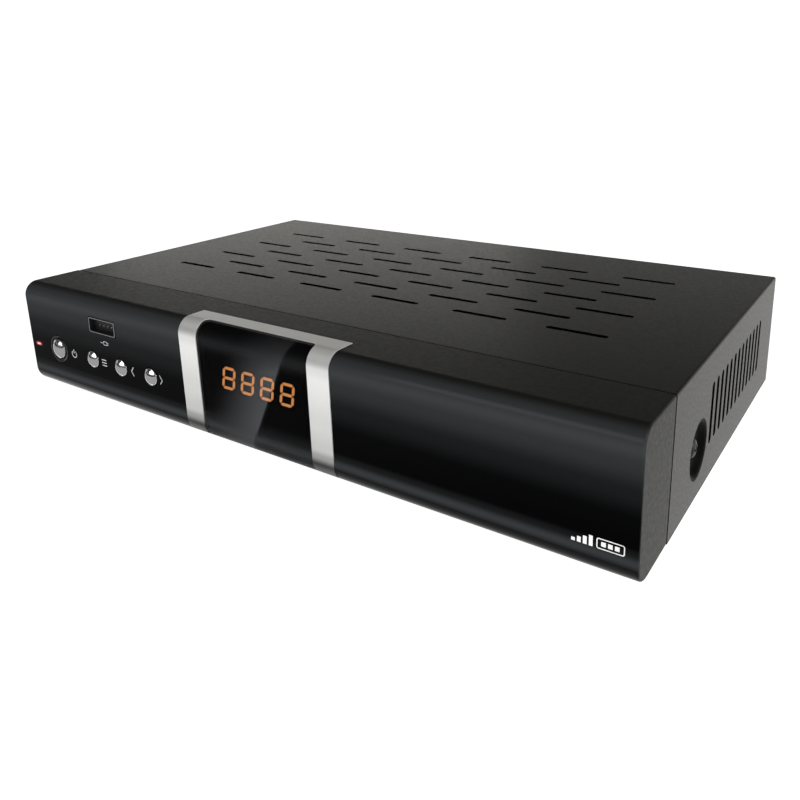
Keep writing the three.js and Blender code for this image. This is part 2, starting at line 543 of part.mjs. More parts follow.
function switchFrame() {
  const { x, z, halfX, halfZ } = SWITCH;
  const flangeShape = outline(centred(x, z, halfX + 1.4, halfZ + 1.1, 1), 3);
  const flange = alongY(flangeShape, PANEL_BACK + GAP, PANEL_BACK + 1.8);
  const body = block(x - halfX, x + halfX, 137, PANEL_BACK + 1, z - halfZ, z + halfZ);
  return cut(join(flange, body), [block(x - 8.5, x + 8.5, 144, PANEL_BACK + OVERRUN, z - 6, z + 6)]);
}
add('switch_frame', switchFrame(), blackPlastic);

/** Rocker: two faces that meet in a shallow valley, pressed in on one side. */
function rocker() {
  const { x, z, pivotY, tilt } = SWITCH;
  const half = 7.4;
  const valley = 3;
  const crest = valley + half * Math.tan(THREE.MathUtils.degToRad(tilt));
  const section = outline([
    [-half, crest, 0.6], [-half, 0.5, 1.5], [0, -3.5, 4], [half, 0.5, 1.5], [half, crest, 0.6], [0, valley],
  ], 3);
  const body = alongZ(section, z - 5.6, z + 5.6).rotateZ(THREE.MathUtils.degToRad(tilt));
  return body.translate(x, pivotY, 0);
}
add('power_rocker', rocker(), blackPlastic);

export default recorder;
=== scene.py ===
"""Looks of the set-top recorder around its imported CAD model. Metres, +Z up, the front faces -Y."""
import random
from math import asin, atan, cos, degrees, hypot, pi, radians, sin

import bmesh
import bpy
from mathutils import Matrix, Vector


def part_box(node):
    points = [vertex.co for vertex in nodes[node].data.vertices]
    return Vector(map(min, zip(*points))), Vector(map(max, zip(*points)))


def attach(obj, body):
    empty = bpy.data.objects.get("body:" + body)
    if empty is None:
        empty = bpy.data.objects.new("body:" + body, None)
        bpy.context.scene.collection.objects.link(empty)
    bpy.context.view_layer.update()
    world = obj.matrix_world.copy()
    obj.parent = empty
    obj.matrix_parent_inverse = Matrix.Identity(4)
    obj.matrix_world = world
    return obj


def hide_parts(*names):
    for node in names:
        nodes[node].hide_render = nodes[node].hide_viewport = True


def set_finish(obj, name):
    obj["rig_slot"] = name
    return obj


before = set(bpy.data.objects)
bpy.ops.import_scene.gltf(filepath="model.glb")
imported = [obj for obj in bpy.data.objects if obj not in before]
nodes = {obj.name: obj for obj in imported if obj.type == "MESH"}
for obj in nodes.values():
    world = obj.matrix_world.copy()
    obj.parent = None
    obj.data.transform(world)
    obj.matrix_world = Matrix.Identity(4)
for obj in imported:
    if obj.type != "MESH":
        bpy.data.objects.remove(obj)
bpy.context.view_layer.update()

# ---- places, from the frame
# Outlines are written in millimetres, Y from the seam behind the front and Z from a level just above
# the case's underside.
MM = 0.001
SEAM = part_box("front_board")[0].y + 17.8 * MM
UNDERSIDE = -1.5
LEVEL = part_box("top_cover")[0].z - UNDERSIDE * MM
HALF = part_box("top_cover")[1].x / MM
COVER_TOP = (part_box("top_cover")[1].z - LEVEL) / MM
COVER_BACK = (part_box("top_cover")[1].y - SEAM) / MM
BEZEL_TOP = (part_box("front_bezel")[1].z - LEVEL) / MM
FACE_Y = (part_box("front_bezel")[0].y - SEAM) / MM


def at(x, y, z):
    """A place in the row frame, from millimetres off the middle, the seam and the level."""
    return Vector((x * MM, SEAM + y * MM, LEVEL + z * MM))


def centre_of(node):
    """The middle of a CAD node, as x, y and z in the outlines' millimetres."""
    low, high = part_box(node)
    mid = (low + high) / 2
    return mid.x / MM, (mid.y - SEAM) / MM, (mid.z - LEVEL) / MM


def ends_of(node):
    """The lowest and highest x, y and z of a CAD node, in the outlines' millimetres."""
    low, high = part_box(node)
    shift = Vector((0, SEAM, LEVEL))
    return tuple((low - shift) / MM), tuple((high - shift) / MM)


def round_node(node):
    """A round CAD node's middle, radius, and lowest and highest corners."""
    low, high = ends_of(node)
    return centre_of(node), (high[0] - low[0]) / 2, low, high


# ---- materials
def material(name, color, roughness, metallic=0.0, **sockets):
    """A Principled material. Keyword names are socket names with _ for a space."""
    made = bpy.data.materials.new(name)
    made.use_nodes = True
    shader = made.node_tree.nodes["Principled BSDF"]
    values = {"Base Color": (*color, 1.0), "Roughness": roughness, "Metallic": metallic}
    values.update({key.replace("_", " "): value for key, value in sockets.items()})
    for socket, value in values.items():
        shader.inputs[socket].default_value = value
    return made


def parts_of(made):
    """A material's or a world's nodes, links and shader."""
    tree = made.node_tree
    return tree.nodes, tree.links, tree.nodes.get("Principled BSDF") or tree.nodes["Background"]


def add_node(made, kind, **inputs):
    """A new node. Keyword names are socket names with _ for a space, and values are numbers or sockets."""
    tree, links, _ = parts_of(made)
    node = tree.new("ShaderNode" + kind)
    for key, value in inputs.items():
        socket = node.inputs[key.replace("_", " ")]
        if isinstance(value, bpy.types.NodeSocket):
            links.new(value, socket)
        else:
            socket.default_value = value
    return node


def noise(made, scale, detail=2.0, stretch=(1, 1, 1)):
    """The value of a noise texture in object space, with scale in features per metre."""
    coords = add_node(made, "TexCoord").outputs["Object"]
    place = add_node(made, "Mapping", Vector=coords, Scale=stretch).outputs["Vector"]
    return add_node(made, "TexNoise", Vector=place, Scale=scale, Detail=detail).outputs["Fac"]


def remap(made, value, from_min, from_max, to_min, to_max):
    node = add_node(made, "MapRange", Value=value, From_Min=from_min, From_Max=from_max, To_Min=to_min,
                    To_Max=to_max)
    node.interpolation_type = "SMOOTHSTEP"
    return node.outputs["Result"]


def mixed(made, factor, a, b):
    """A colour between a and b, each a colour or a socket."""
    tree, links, _ = parts_of(made)
    node = tree.new("ShaderNodeMix")
    node.data_type = "RGBA"
    links.new(factor, node.inputs["Factor"])
    for socket, value in ((node.inputs[6], a), (node.inputs[7], b)):
        if isinstance(value, bpy.types.NodeSocket):
            links.new(value, socket)
        else:
            socket.default_value = (*value, 1.0)
    return node.outputs[2]


def vary_roughness(made, scale, low, high, stretch=(1, 1, 1)):
    _, links, shader = parts_of(made)
    links.new(remap(made, noise(made, scale, 3, stretch), 0.3, 0.7, low, high), shader.inputs["Roughness"])
    return made


def vary_color(made, scale, dark, light):
    _, links, shader = parts_of(made)
    factor = remap(made, noise(made, scale, 3), 0.35, 0.65, 0, 1)
    links.new(mixed(made, factor, dark, light), shader.inputs["Base Color"])
    return made


def roughen(made, scale, depth, strength=0.5, stretch=(1, 1, 1)):
    """A bump of noise, with depth in metres."""
    _, links, shader = parts_of(made)
    bump = add_node(made, "Bump", Strength=strength, Distance=depth, Height=noise(made, scale, 2, stretch))
    links.new(bump.outputs["Normal"], shader.inputs["Normal"])
    return made


def ramp(made, value, stops):
    """A soft colour ramp, from (place between 0 and 1, colour) stops."""
    node = add_node(made, "ValToRGB", Fac=value)
    node.color_ramp.interpolation = "EASE"
    elements = node.color_ramp.elements
    while len(elements) < len(stops):
        elements.new(0.5)
    for element, (place, color) in zip(elements, stops):
        element.position = place
        element.color = (*color, 1.0)
    return node.outputs["Color"]


def axes_of(made, kind, output):
    """X, Y and Z of the object coordinates or of the surface's normal."""
    source = add_node(made, kind).outputs[output]
    return add_node(made, "SeparateXYZ", Vector=source).outputs


def height_of(made):
    """How high a place is on the front, from 0 at the underside to 1 at the top."""
    height = axes_of(made, "TexCoord", "Object")["Z"]
    low, high = LEVEL + UNDERSIDE * MM, LEVEL + BEZEL_TOP * MM
    return add_node(made, "MapRange", Value=height, From_Min=low, From_Max=high).outputs["Result"]


def painted_light_by_height(made, tint, stops):
    """A colour painted with light and shade by height, from (height in millimetres, brightness) stops."""
    span = BEZEL_TOP - UNDERSIDE
    levels = [((z - UNDERSIDE) / span, tuple(level * c for c in tint)) for z, level in stops]
    return ramp(made, height_of(made), levels)


def coat_paint():
    """Fine powder coat on sheet metal."""
    made = material("cover_paint", (0.010, 0.0097, 0.0078), 0.36, Specular_IOR_Level=0.105)
    vary_color(made, 60, (0.0095, 0.0092, 0.0073), (0.0105, 0.0102, 0.0083))
    vary_roughness(made, 900, 0.32, 0.40)
    return roughen(made, 3000, 0.00002, 0.08)


def front_gloss():
    """Gloss lacquer on the face, satin where the moulding turns to its top and sides.

    Painted reflections lighten the lacquer's colour towards its upper edge, and a painted reflected band lies
    above its foot."""
    made = material("front_gloss", (0.004, 0.004, 0.005), 0.12, Specular_IOR_Level=0.05)
    tree, links, shader = parts_of(made)
    front = remap(made, axes_of(made, "NewGeometry", "Normal")["Y"], -0.7, -0.25, 1, 0)
    # Painted reflections by height: a light band above the foot and a lighter rise towards the top edge.
    stops = ((-1, 0.0003), (4, 0.0005), (7, 0.038), (9.7, 0.008), (12, 0.0001), (20, 0.0008), (28, 0.0095),
             (36, 0.028), (41, 0.045), (45, 0.038))
    lacquer = painted_light_by_height(made, (0.92, 1.0, 1.07), stops)
    links.new(mixed(made, front, (0.0178, 0.0179, 0.0155), lacquer), shader.inputs["Base Color"])
    finish = tree.new("ShaderNodeMix")
    links.new(front, finish.inputs["Factor"])
    links.new(remap(made, noise(made, 700, 3), 0.3, 0.7, 0.36, 0.46), finish.inputs[2])
    links.new(remap(made, noise(made, 300, 2), 0.3, 0.7, 0.11, 0.15), finish.inputs[3])
    links.new(finish.outputs[0], shader.inputs["Roughness"])
    return roughen(made, 700, 0.00001, 0.05)


def trim_silver():
    """Satin silver paint with painted light and shade by height: a painted dark reflection over the fold and
    painted shade where the foot turns under.
    """
    made = material("trim_silver", (0.6, 0.6, 0.6), 0.36, 0.25, Specular_IOR_Level=0.35)
    _, links, shader = parts_of(made)
    # Painted light and shade by height: dark at the foot, lighter up the legs, a painted dark reflection over
    # the fold.
    stops = ((-1, 0.03), (4.9, 0.03), (8.1, 0.38), (11, 0.64), (20, 0.75), (36, 0.93), (40, 0.82), (43, 0.47),
             (45, 0.7), (46.3, 0.75))
    links.new(painted_light_by_height(made, (1.0, 0.998, 0.985), stops), shader.inputs["Base Color"])
    vary_roughness(made, 300, 0.32, 0.4)
    return roughen(made, 1500, 0.00002, 0.08)


def product(made, *factors):
    """The product of sockets."""
    tree, links, _ = parts_of(made)
    share = factors[0]
    for factor in factors[1:]:
        node = tree.new("ShaderNodeMath")
        node.operation = "MULTIPLY"
        links.new(share, node.inputs[0])
        links.new(factor, node.inputs[1])
        share = node.outputs[0]
    return share


# The painted reflection on the window ends at a slanting edge through these two points.
PAINTED_SHEEN_FOOT = (0.43, 7.86)    # x and z of the ends of the slanting line on the window
PAINTED_SHEEN_TOP = (16.18, 40.78)


def window_lens():
    """A smoked lens, with a painted grey reflection in its colour that fades to the left of a slanting line,
    and painted highlights at its top fold and above its foot.
    """
    made = material("window_smoked", (0.002, 0.002, 0.002), 0.08, Specular_IOR_Level=0.05, Alpha=0.55)
    tree, links, shader = parts_of(made)
    axes = axes_of(made, "TexCoord", "Object")
    slope = (PAINTED_SHEEN_TOP[0] - PAINTED_SHEEN_FOOT[0]) / (PAINTED_SHEEN_TOP[1] - PAINTED_SHEEN_FOOT[1])
    beyond = tree.new("ShaderNodeMath")
    beyond.operation = "MULTIPLY_ADD"
    beyond.inputs[1].default_value = -slope
    links.new(axes["Z"], beyond.inputs[0])
    links.new(axes["X"], beyond.inputs[2])
    foot = at(PAINTED_SHEEN_FOOT[0], 0, PAINTED_SHEEN_FOOT[1])
    line = foot.x - slope * foot.z
    # The painted reflection's mask: it ends at the slanting edge and fades to the left, towards the foot and
    # towards the top.
    beside = remap(made, beyond.outputs[0], line - 0.25 * MM, line + 0.1 * MM, 1, 0)
    fading = remap(made, beyond.outputs[0], line - 27 * MM, line + 6 * MM, 0, 1)
    rising = remap(made, axes["Z"], at(0, 0, 7).z, at(0, 0, 12).z, 0.7, 1)
    falling = remap(made, axes["Z"], at(0, 0, 34).z, at(0, 0, 41).z, 1, 0.35)
    # Painted highlights by height: a band above the foot and a line at the top fold.
    stops = ((0, 0.001), (4, 0.012), (6.5, 0.05), (10, 0.012), (14, 0.001), (35, 0.001), (40, 0.016),
             (44, 0.004))
    painted_sheen = product(made, beside, fading, rising, falling)
    edge = painted_light_by_height(made, (0.94, 1.0, 1.05), stops)
    links.new(mixed(made, painted_sheen, edge, (0.105, 0.108, 0.114)), shader.inputs["Base Color"])
    return vary_roughness(made, 200, 0.06, 0.1)


def brushed(name, color, roughness, stretch):
    made = material(name, color, roughness, 1.0)
    vary_roughness(made, 220, roughness - 0.06, roughness + 0.08, stretch)
    return roughen(made, 900, 0.00002, 0.15, stretch)


def moulded(name, color, roughness, grain=1200, **sockets):
    made = material(name, color, roughness, **sockets)
    vary_color(made, 60, tuple(0.9 * c for c in color), tuple(1.1 * c for c in color))
    vary_roughness(made, grain, roughness - 0.06, roughness + 0.08)
    return roughen(made, grain, 0.00003, 0.25)


def glowing(name, color, strength):
    made = material(name, tuple(0.2 * c for c in color), 0.4, Emission_Color=(*color, 1.0),
                    Emission_Strength=strength)
    return vary_roughness(made, 400, 0.3, 0.5)


PAINT = coat_paint()
GLOSS = front_gloss()
SILVER = trim_silver()
CHROME = brushed("button_chrome", (0.8, 0.8, 0.81), 0.12, (1, 1, 1))
DARK_CHROME = brushed("dark_chrome", (0.16, 0.16, 0.16), 0.25, (1, 1, 1))
ZINC = brushed("black_zinc", (0.02, 0.02, 0.02), 0.4, (1, 1, 1))
STEEL = brushed("bare_steel", (0.50, 0.51, 0.52), 0.35, (0.15, 1, 1))
ALUMINIUM = brushed("heatsink_aluminium", (0.6, 0.61, 0.63), 0.4, (1, 0.15, 1))
BLACK = moulded("black_plastic", (0.012, 0.012, 0.013), 0.45)
# Near-black without gloss for the display mask, and painted shade for the slots' walls and the sheets behind
# the slots.
SHADE = moulded("cut_edge", (0.0012, 0.0012, 0.0012), 0.8, Specular_IOR_Level=0.02)
# The cover's paint darkened in the screw cups, as painted shade in the hollow.
CUP_SHADE_PAINT = moulded("cup_paint", (0.0022, 0.0022, 0.0022), 0.55, 2000, Specular_IOR_Level=0.04)
WHITE = moulded("white_plastic", (0.72, 0.71, 0.68), 0.4)
YELLOW = moulded("yellow_plastic", (0.72, 0.48, 0.03), 0.4)
RED = moulded("red_plastic", (0.5, 0.02, 0.03), 0.4)
RUBBER = moulded("foot_rubber", (0.014, 0.014, 0.014), 0.75, 800)
GREEN_BOARD = moulded("board_green", (0.012, 0.11, 0.045), 0.35, 500)
BROWN_BOARD = moulded("board_brown", (0.28, 0.17, 0.06), 0.55, 500)
FERRITE = moulded("ferrite", (0.30, 0.20, 0.05), 0.6, 400)
SLEEVE = moulded("cap_sleeve", (0.02, 0.03, 0.12), 0.3, 300)
CABLE = moulded("cable_grey", (0.42, 0.42, 0.44), 0.5, 500)
GOLD = brushed("contact_gold", (0.85, 0.6, 0.2), 0.3, (1, 1, 1))
INK = moulded("printed_ink", (0.52, 0.52, 0.52), 0.5, 900)
BRIGHT_INK = moulded("badge_ink", (0.9, 0.9, 0.9), 0.5, 900)
RED_LIGHT = glowing("red_lens", (0.6, 0.02, 0.04), 0.3)
HOT_LIGHT = glowing("red_lens_core", (1.0, 0.5, 0.52), 1.0)
DIGIT_LIGHT = glowing("digit_light", (0.78, 0.31, 0.10), 3.4)
WINDOW = window_lens()


# ---- mesh helpers
def new_object(name, data):
    made = bpy.data.objects.new(name, data)
    bpy.context.scene.collection.objects.link(made)
    return made


# The slots of the materials that aren't named after one.
OTHER_SLOTS = {"cut_edge": "black_plastic", "cup_paint": "cover_paint", "dark_chrome": "button_chrome",
               "contact_gold": "bare_steel", "printed_ink": "front_gloss", "badge_ink": "front_gloss",
               "red_lens_core": "red_lens", "digit_light": "red_lens"}


def slot_of(mat):
    """The slot for a material. A name that the CAD has taken ends in a dot and a number."""
    name = mat.name.split(".")[0]
    return OTHER_SLOTS.get(name, name)


def stand_in(made, node, body="case"):
    """Shows a piece in place of the CAD node, on the node's body."""
    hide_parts(node)
    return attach(made, body)


def piece(name, verts, faces, mat, smooth=True):
    """A mesh piece whose vertices are already places in the row frame."""
    mesh = bpy.data.meshes.new(name)
    mesh.from_pydata([tuple(v) for v in verts], [], faces)
    mesh.validate()
    if smooth:
        mesh.shade_smooth()
    made = new_object(name, mesh)
    made.data.materials.append(mat)
    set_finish(made, slot_of(mat))
    return made


def face_out(obj, merge=True):
    """Turns every face of a closed mesh outwards, after merging its doubled corners."""
    bm = bmesh.new()
    bm.from_mesh(obj.data)
    if merge:
        bmesh.ops.remove_doubles(bm, verts=bm.verts, dist=1e-7)
    bmesh.ops.recalc_face_normals(bm, faces=bm.faces)
    bm.to_mesh(obj.data)
    bm.free()
    return obj


def apply_modifiers(obj):
    """Bakes an object's modifiers into its mesh."""
    graph = bpy.context.evaluated_depsgraph_get()
    graph.update()
    mesh = bpy.data.meshes.new_from_object(obj.evaluated_get(graph))
    obj.modifiers.clear()
    obj.data = mesh
    return obj


def round_edges(obj, width, segments=2, angle=35):
    """Rounds the sharp edges by width in millimetres, and keeps flat faces flat in shading."""
    bevel = obj.modifiers.new("round", "BEVEL")
    bevel.width = width * MM
    bevel.segments = segments
    bevel.limit_method = "ANGLE"
    bevel.angle_limit = radians(angle)
    bevel.use_clamp_overlap = True
    bevel.miter_outer = "MITER_ARC"
    weigh = obj.modifiers.new("weigh", "WEIGHTED_NORMAL")
    weigh.weight = 80
    apply_modifiers(obj)
    return obj


def joined(name, objects):
    """One object from several, with every material kept."""
    bm = bmesh.new()
    mats = []
    for obj in objects:
        start = len(bm.faces)
        bm.from_mesh(obj.data)
        bm.faces.ensure_lookup_table()
        own = list(obj.data.materials)
        mats += [mat for mat in own if mat not in mats]
        for face in bm.faces[start:]:
            face.material_index = mats.index(own[face.material_index])
    mesh = bpy.data.meshes.new(name)
    bm.to_mesh(mesh)
    bm.free()
    slot = objects[0].get("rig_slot")
    for obj in objects:
        bpy.data.objects.remove(obj)
    made = new_object(name, mesh)
    for mat in mats:
        mesh.materials.append(mat)
    if slot:
        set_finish(made, slot)
    return made


def cut_away(obj, tools, operation="DIFFERENCE"):
    """Subtracts the tools, which are removed, from obj, or keeps what they share."""
    tool = joined("cutter", tools)
    boolean = obj.modifiers.new("cut", "BOOLEAN")
    boolean.object = tool
    boolean.solver = "EXACT"
    boolean.operation = operation
    boolean.material_mode = "TRANSFER"
    apply_modifiers(obj)
    bpy.data.objects.remove(tool)
    return obj


def arc(cx, cy, radius, start, end, steps):
    """Points of an arc, with angles in degrees."""
    angles = [radians(start + (end - start) * k / steps) for k in range(steps + 1)]
    return [(cx + radius * cos(a), cy + radius * sin(a)) for a in angles]


def rounded_rectangle(a0, a1, b0, b1, radius, steps=5):
    corners = ((a1 - radius, b0 + radius, -90), (a1 - radius, b1 - radius, 0),
               (a0 + radius, b1 - radius, 90), (a0 + radius, b0 + radius, 180))
    return [point for cx, cy, turn in corners for point in arc(cx, cy, radius, turn, turn + 90, steps)]


def slot_outline(a0, a1, b0, b1, steps=6):
    return rounded_rectangle(a0, a1, b0, b1, 0.499 * min(a1 - a0, b1 - b0), steps)


TURNS = {"x": lambda a, b, c: (c, a, b), "y": lambda a, b, c: (a, c, b), "z": lambda a, b, c: (a, b, c)}


def prism(name, outline, low, high, axis, mat=None):
    """An outline in the other two axes, in X, Y, Z order, running from low to high along axis."""
    place = TURNS[axis]
    count = len(outline)
    verts = [at(*place(a, b, c)) for c in (low, high) for a, b in outline]
    sides = [(i, (i + 1) % count, count + (i + 1) % count, count + i) for i in range(count)]
    faces = sides + [tuple(range(count))[::-1], tuple(range(count, 2 * count))]
    return face_out(piece(name, verts, faces, mat or BLACK, smooth=False))


def box_piece(name, low, high, mat, rounding=0.0):
    outline = [(low[0], low[1]), (high[0], low[1]), (high[0], high[1]), (low[0], high[1])]
    made = prism(name, outline, low[2], high[2], "z", mat)
    return round_edges(made, rounding) if rounding else made


def turned(name, profile, centre, axis, mat, sides=48):
    """A piece turned about a line along axis through centre, from [radius, distance along the line]."""
    place = TURNS[axis]
    verts, rings = [], []
    for radius, along in profile:
        count = 1 if radius < 1e-6 else sides
        ring = []
        for k in range(count):
            angle = 2 * pi * k / sides
            offset = place(radius * cos(angle), radius * sin(angle), along)
            verts.append(at(*(c + o for c, o in zip(centre, offset))))
            ring.append(len(verts) - 1)
        rings.append(ring)
    faces = []
    for low, high in zip(rings, rings[1:]):
        for k in range(sides):
            after = k + 1
            corners = [low[k % len(low)], low[after % len(low)], high[after % len(high)], high[k % len(high)]]
            unique = list(dict.fromkeys(corners))
            if len(unique) > 2:
                faces.append(unique)
    return face_out(piece(name, verts, faces, mat))


def sharp_turned(*args, **kwargs):
    """A turned piece whose corners over 30 degrees stay crisp in shading."""
    made = turned(*args, **kwargs)
    made.data.set_sharp_from_angle(angle=radians(30))
    return made


# ---- the front's profile
TOP_RADIUS = 6.0
BOTTOM_RADIUS = 8.0
FACE_LEAN = 0.034
FACE_TOP = BEZEL_TOP - TOP_RADIUS


def profile():
    """The front's side profile, from the underside's back edge to the top's.

    Each point is [y, z, normal's y, normal's z]."""
    tilt = -degrees(atan(FACE_LEAN))
    reach = hypot(1, FACE_LEAN)

    def along(angle):
        return -cos(radians(angle)), sin(radians(angle))

    def sweep(cz, radius, start, end, steps):
        cy = FACE_Y + (FACE_TOP - cz) * FACE_LEAN + radius * reach
        angles = [start + (end - start) * k / steps for k in range(steps + 1)]
        return [(cy + radius * along(a)[0], cz + radius * along(a)[1], *along(a)) for a in angles]

    bottom = sweep(UNDERSIDE + BOTTOM_RADIUS, BOTTOM_RADIUS, -90, tilt, 20)
    top = sweep(FACE_TOP, TOP_RADIUS, tilt, 90, 16)
    return [(0.0, UNDERSIDE, 0.0, -1.0)] + bottom + top + [(0.0, BEZEL_TOP, 0.0, 1.0)]


PROFILE = profile()


def inset(depth):
    """The profile moved inwards by depth, as [y, z]."""
    return [(y - depth * ny, z - depth * nz) for y, z, ny, nz in PROFILE]


def face_y(z, proud=0.0):
    """Y of the front's face at a height, moved out by proud."""
    points = [(py, pz) for py, pz in inset(-proud) if py < -20]
    for (y0, z0), (y1, z1) in zip(points, points[1:]):
        if z0 <= z <= z1:
            return y0 + (y1 - y0) * (z - z0) / max(z1 - z0, 1e-9)
    raise ValueError(f"the face has no point at height {z}")


def shade_by_profile(obj, proud=0.0):
    """Shades a skin on the front by the profile itself, whatever edges the cuts left across it."""
    skin_line = [(Vector((y + proud * ny, z + proud * nz)), Vector((0, ny, nz))) for y, z, ny, nz in PROFILE]
    mesh = obj.data
    normals = [corner.vector.copy() for corner in mesh.corner_normals]
    facing = {}
    for vertex in mesh.vertices:
        spot = Vector(((vertex.co.y - SEAM) / MM, (vertex.co.z - LEVEL) / MM))
        for (a, normal_a), (b, normal_b) in zip(skin_line, skin_line[1:]):
            reach = (b - a).length
            share = (spot - a).dot(b - a) / reach ** 2 if reach > 1e-4 else 0.0
            if -0.001 <= share <= 1.001 and (a.lerp(b, share) - spot).length < 0.03:
                facing[vertex.index] = normal_a.lerp(normal_b, share).normalized()
    for face in mesh.polygons:
        corners = [(loop, facing.get(mesh.loops[loop].vertex_index)) for loop in face.loop_indices]
        if abs(face.normal.x) > 0.9999:
            for loop in face.loop_indices:
                normals[loop] = face.normal.copy()
        elif all(normal and face.normal.angle(normal) < radians(5) for _, normal in corners):
            for loop, normal in corners:
                normals[loop] = normal
    mesh.normals_split_custom_set(normals)
    return obj


def loft(name, rings, mat):
    """A closed solid through rings of (x, [(y, z), ...]), with flat ends."""
    count = len(rings[0][1])
    verts = [at(x, y, z) for x, ring in rings for y, z in ring]
    faces = []
    for k in range(len(rings) - 1):
        for i in range(count):
            j = (i + 1) % count
            faces.append((k * count + i, k * count + j, (k + 1) * count + j, (k + 1) * count + i))
    faces.append(tuple(range(count)))
    faces.append(tuple(range((len(rings) - 1) * count, len(rings) * count)))
    return face_out(piece(name, verts, faces, mat))


def rounded_ends(half, depth, radius, steps=5):
    """Rings from -half to half whose ends are rounded, as (x, depth below the surface)."""
    turn = [k / steps * pi / 2 for k in range(steps + 1)]
    low = sorted((-half + radius * (1 - sin(t)), depth + radius * (1 - cos(t))) for t in turn)
    return low + [(-x, d) for x, d in reversed(low)]


# ---- front moulding
TRIM_LOW, TRIM_HIGH = ends_of("silver_trim")
TRIM_HALF = TRIM_HIGH[0]
LEG = 9.5                       # width of each leg of the trim
BAR_FRONT = TRIM_HIGH[1] - 6.7  # front edge of the bar on top
TRIM_FOOT = TRIM_LOW[2]
BUTTONS = ("power_button", "menu_button", "left_button", "right_button")


def add_station(number, value):
    """Adds the profile's last point where y (number 0), or its first where z (number 1), has a value."""
    crossings = [k for k in range(len(PROFILE) - 1)
                 if (PROFILE[k][number] - value) * (PROFILE[k + 1][number] - value) < 0]
    k = crossings[-1] if number == 0 else crossings[0]
    before, after = PROFILE[k], PROFILE[k + 1]
    share = (value - before[number]) / (after[number] - before[number])
    PROFILE.insert(k + 1, tuple(a + (b - a) * share for a, b in zip(before, after)))


def station_at(number, value):
    """The index of the profile's point that add_station added."""
    def distance(k):
        return abs(PROFILE[k][number] - value), (PROFILE[k][1] < 20) == (number == 0)

    return min(range(len(PROFILE)), key=distance)


for stop in (TRIM_HIGH[1], BAR_FRONT, TRIM_HIGH[1] + 0.3, BAR_FRONT - 0.3):
    add_station(0, stop)
for stop in (TRIM_FOOT, TRIM_FOOT - 0.3):
    add_station(1, stop)


def skin(name, half, back, foot, outer, inner, mat):
    """A skin on the front between two depths, from its foot over the fold to its back edge."""
    stations = range(station_at(1, foot), station_at(0, back) + 1)
    layers = inset(outer), inset(inner)
    verts = [at(x, *layer[k]) for k in stations for layer in layers for x in (-half, half)]
    faces = [(0, 1, 3, 2), tuple(len(verts) - 4 + k for k in (0, 1, 3, 2))]
    rings = ((0, 1, 5, 4), (2, 3, 7, 6), (0, 2, 6, 4), (1, 3, 7, 5))
    for start in range(0, len(verts) - 4, 4):
        faces += [tuple(start + k for k in ring) for ring in rings]
    return face_out(piece(name, verts, faces, mat))


def window_outline(grow, radius):
    """The window seen from above, which runs out past the front."""
    half = TRIM_HALF - LEG + grow
    return rounded_rectangle(-half, half, -60, BAR_FRONT + grow, radius)


def footprint(node, grow):
    """A node's left, right, foot and top, moved out by grow."""
    low, high = ends_of(node)
    return low[0] - grow, high[0] + grow, low[2] - grow, high[2] + grow


def front_bezel():
    ends = rounded_ends(HALF, 0.0, 0.9)
    body = loft("bezel", [(x, inset(depth)) for x, depth in ends], GLOSS)
    wall = 2.4
    hollow_profile = [(y + (5 if y > -1 else 0), z) for y, z in inset(wall)]
    hollow = loft("hollow", [(x, hollow_profile) for x in (wall - HALF, HALF - wall)], BLACK)
    holes = [hollow]
    opening = rounded_rectangle(*footprint("usb_shell", 0.4), 0.9)
    holes.append(prism("usb_hole", opening, -40, -24, "y"))
    holes.append(prism("light_hole", slot_outline(*footprint("status_light_pipe", 0.2)), -40, -24, "y"))
    for name in BUTTONS:
        (x, _, z), flange, _, _ = round_node(name)
        holes.append(prism(name + "_hole", arc(x, z, flange - 0.85, 0, 354, 59), -40, -24, "y"))
    cut_away(body, holes)
    x, _, z = centre_of("power_button")
    seat = prism("ring_seat", arc(x, z, 6.2, 0, 354, 59), -40, face_y(z) + 1.2, "y")
    # The pocket takes the lacquer, so its painted reflections show through the window.
    pocket = skin("pocket", TRIM_HALF + 0.2, TRIM_HIGH[1] + 0.3, TRIM_FOOT - 0.3, -1.0, 1.4, GLOSS)
    opening = prism("display_hole", rounded_rectangle(-25, 25, 9, 37.5, 1), -40, -20, "y")
    for tool in (seat, pocket, opening):
        cut_away(body, [tool])
    rim = prism("rim", rounded_rectangle(-138.4, 138.4, UNDERSIDE + 1.2, 44.2, 1), -1.5, 5, "y", BLACK)
    cut_away(rim, [prism("rim_hole", rounded_rectangle(-137, 137, UNDERSIDE + 2.7, 42.7, 1), -3, 6, "y")])
    shade_by_profile(round_edges(body, 0.18, 2))
    made = joined("front_moulding", [body, rim])
    return stand_in(made, "front_bezel")


def silver_trim():
    made = skin("trim_frame", TRIM_HALF, TRIM_HIGH[1], TRIM_FOOT, -0.2, 1.1, SILVER)
    cut_away(made, [prism("window_gap", window_outline(0, 2.2), -10, 60, "z", SILVER)])
    shade_by_profile(round_edges(made, 0.25, 3), 0.2)
    return stand_in(made, "silver_trim")


def display_window():
    made = skin("window_lens", TRIM_HALF - LEG - 0.2, BAR_FRONT - 0.3, TRIM_FOOT, 0.0, 1.1, WINDOW)
    trim_tool = prism("window_trim", window_outline(-0.2, 2.0), -10, 60, "z", WINDOW)
    cut_away(made, [trim_tool], "INTERSECT")
    shade_by_profile(round_edges(made, 0.2, 2))
    return stand_in(made, "display_window")


def display_mask():
    """The dark sheet round the digits."""
    front = ends_of("digit_display")[0][1]
    low, high = (-24.9, front - 0.35, 6), (24.9, front - 0.1, 41)
    made = box_piece("display_mask", low, high, SHADE, 0.05)
    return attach(made, "case")


# ---- digits
DIGIT_HEIGHT = 8.8
DIGIT_WIDTH = 6.4
DIGIT_PITCH = 9.55
DIGIT_SHIFT = (1.25, 0.5)
STROKE = 1.0
SLANT = 0.14
SEGMENT_GAP = 0.26


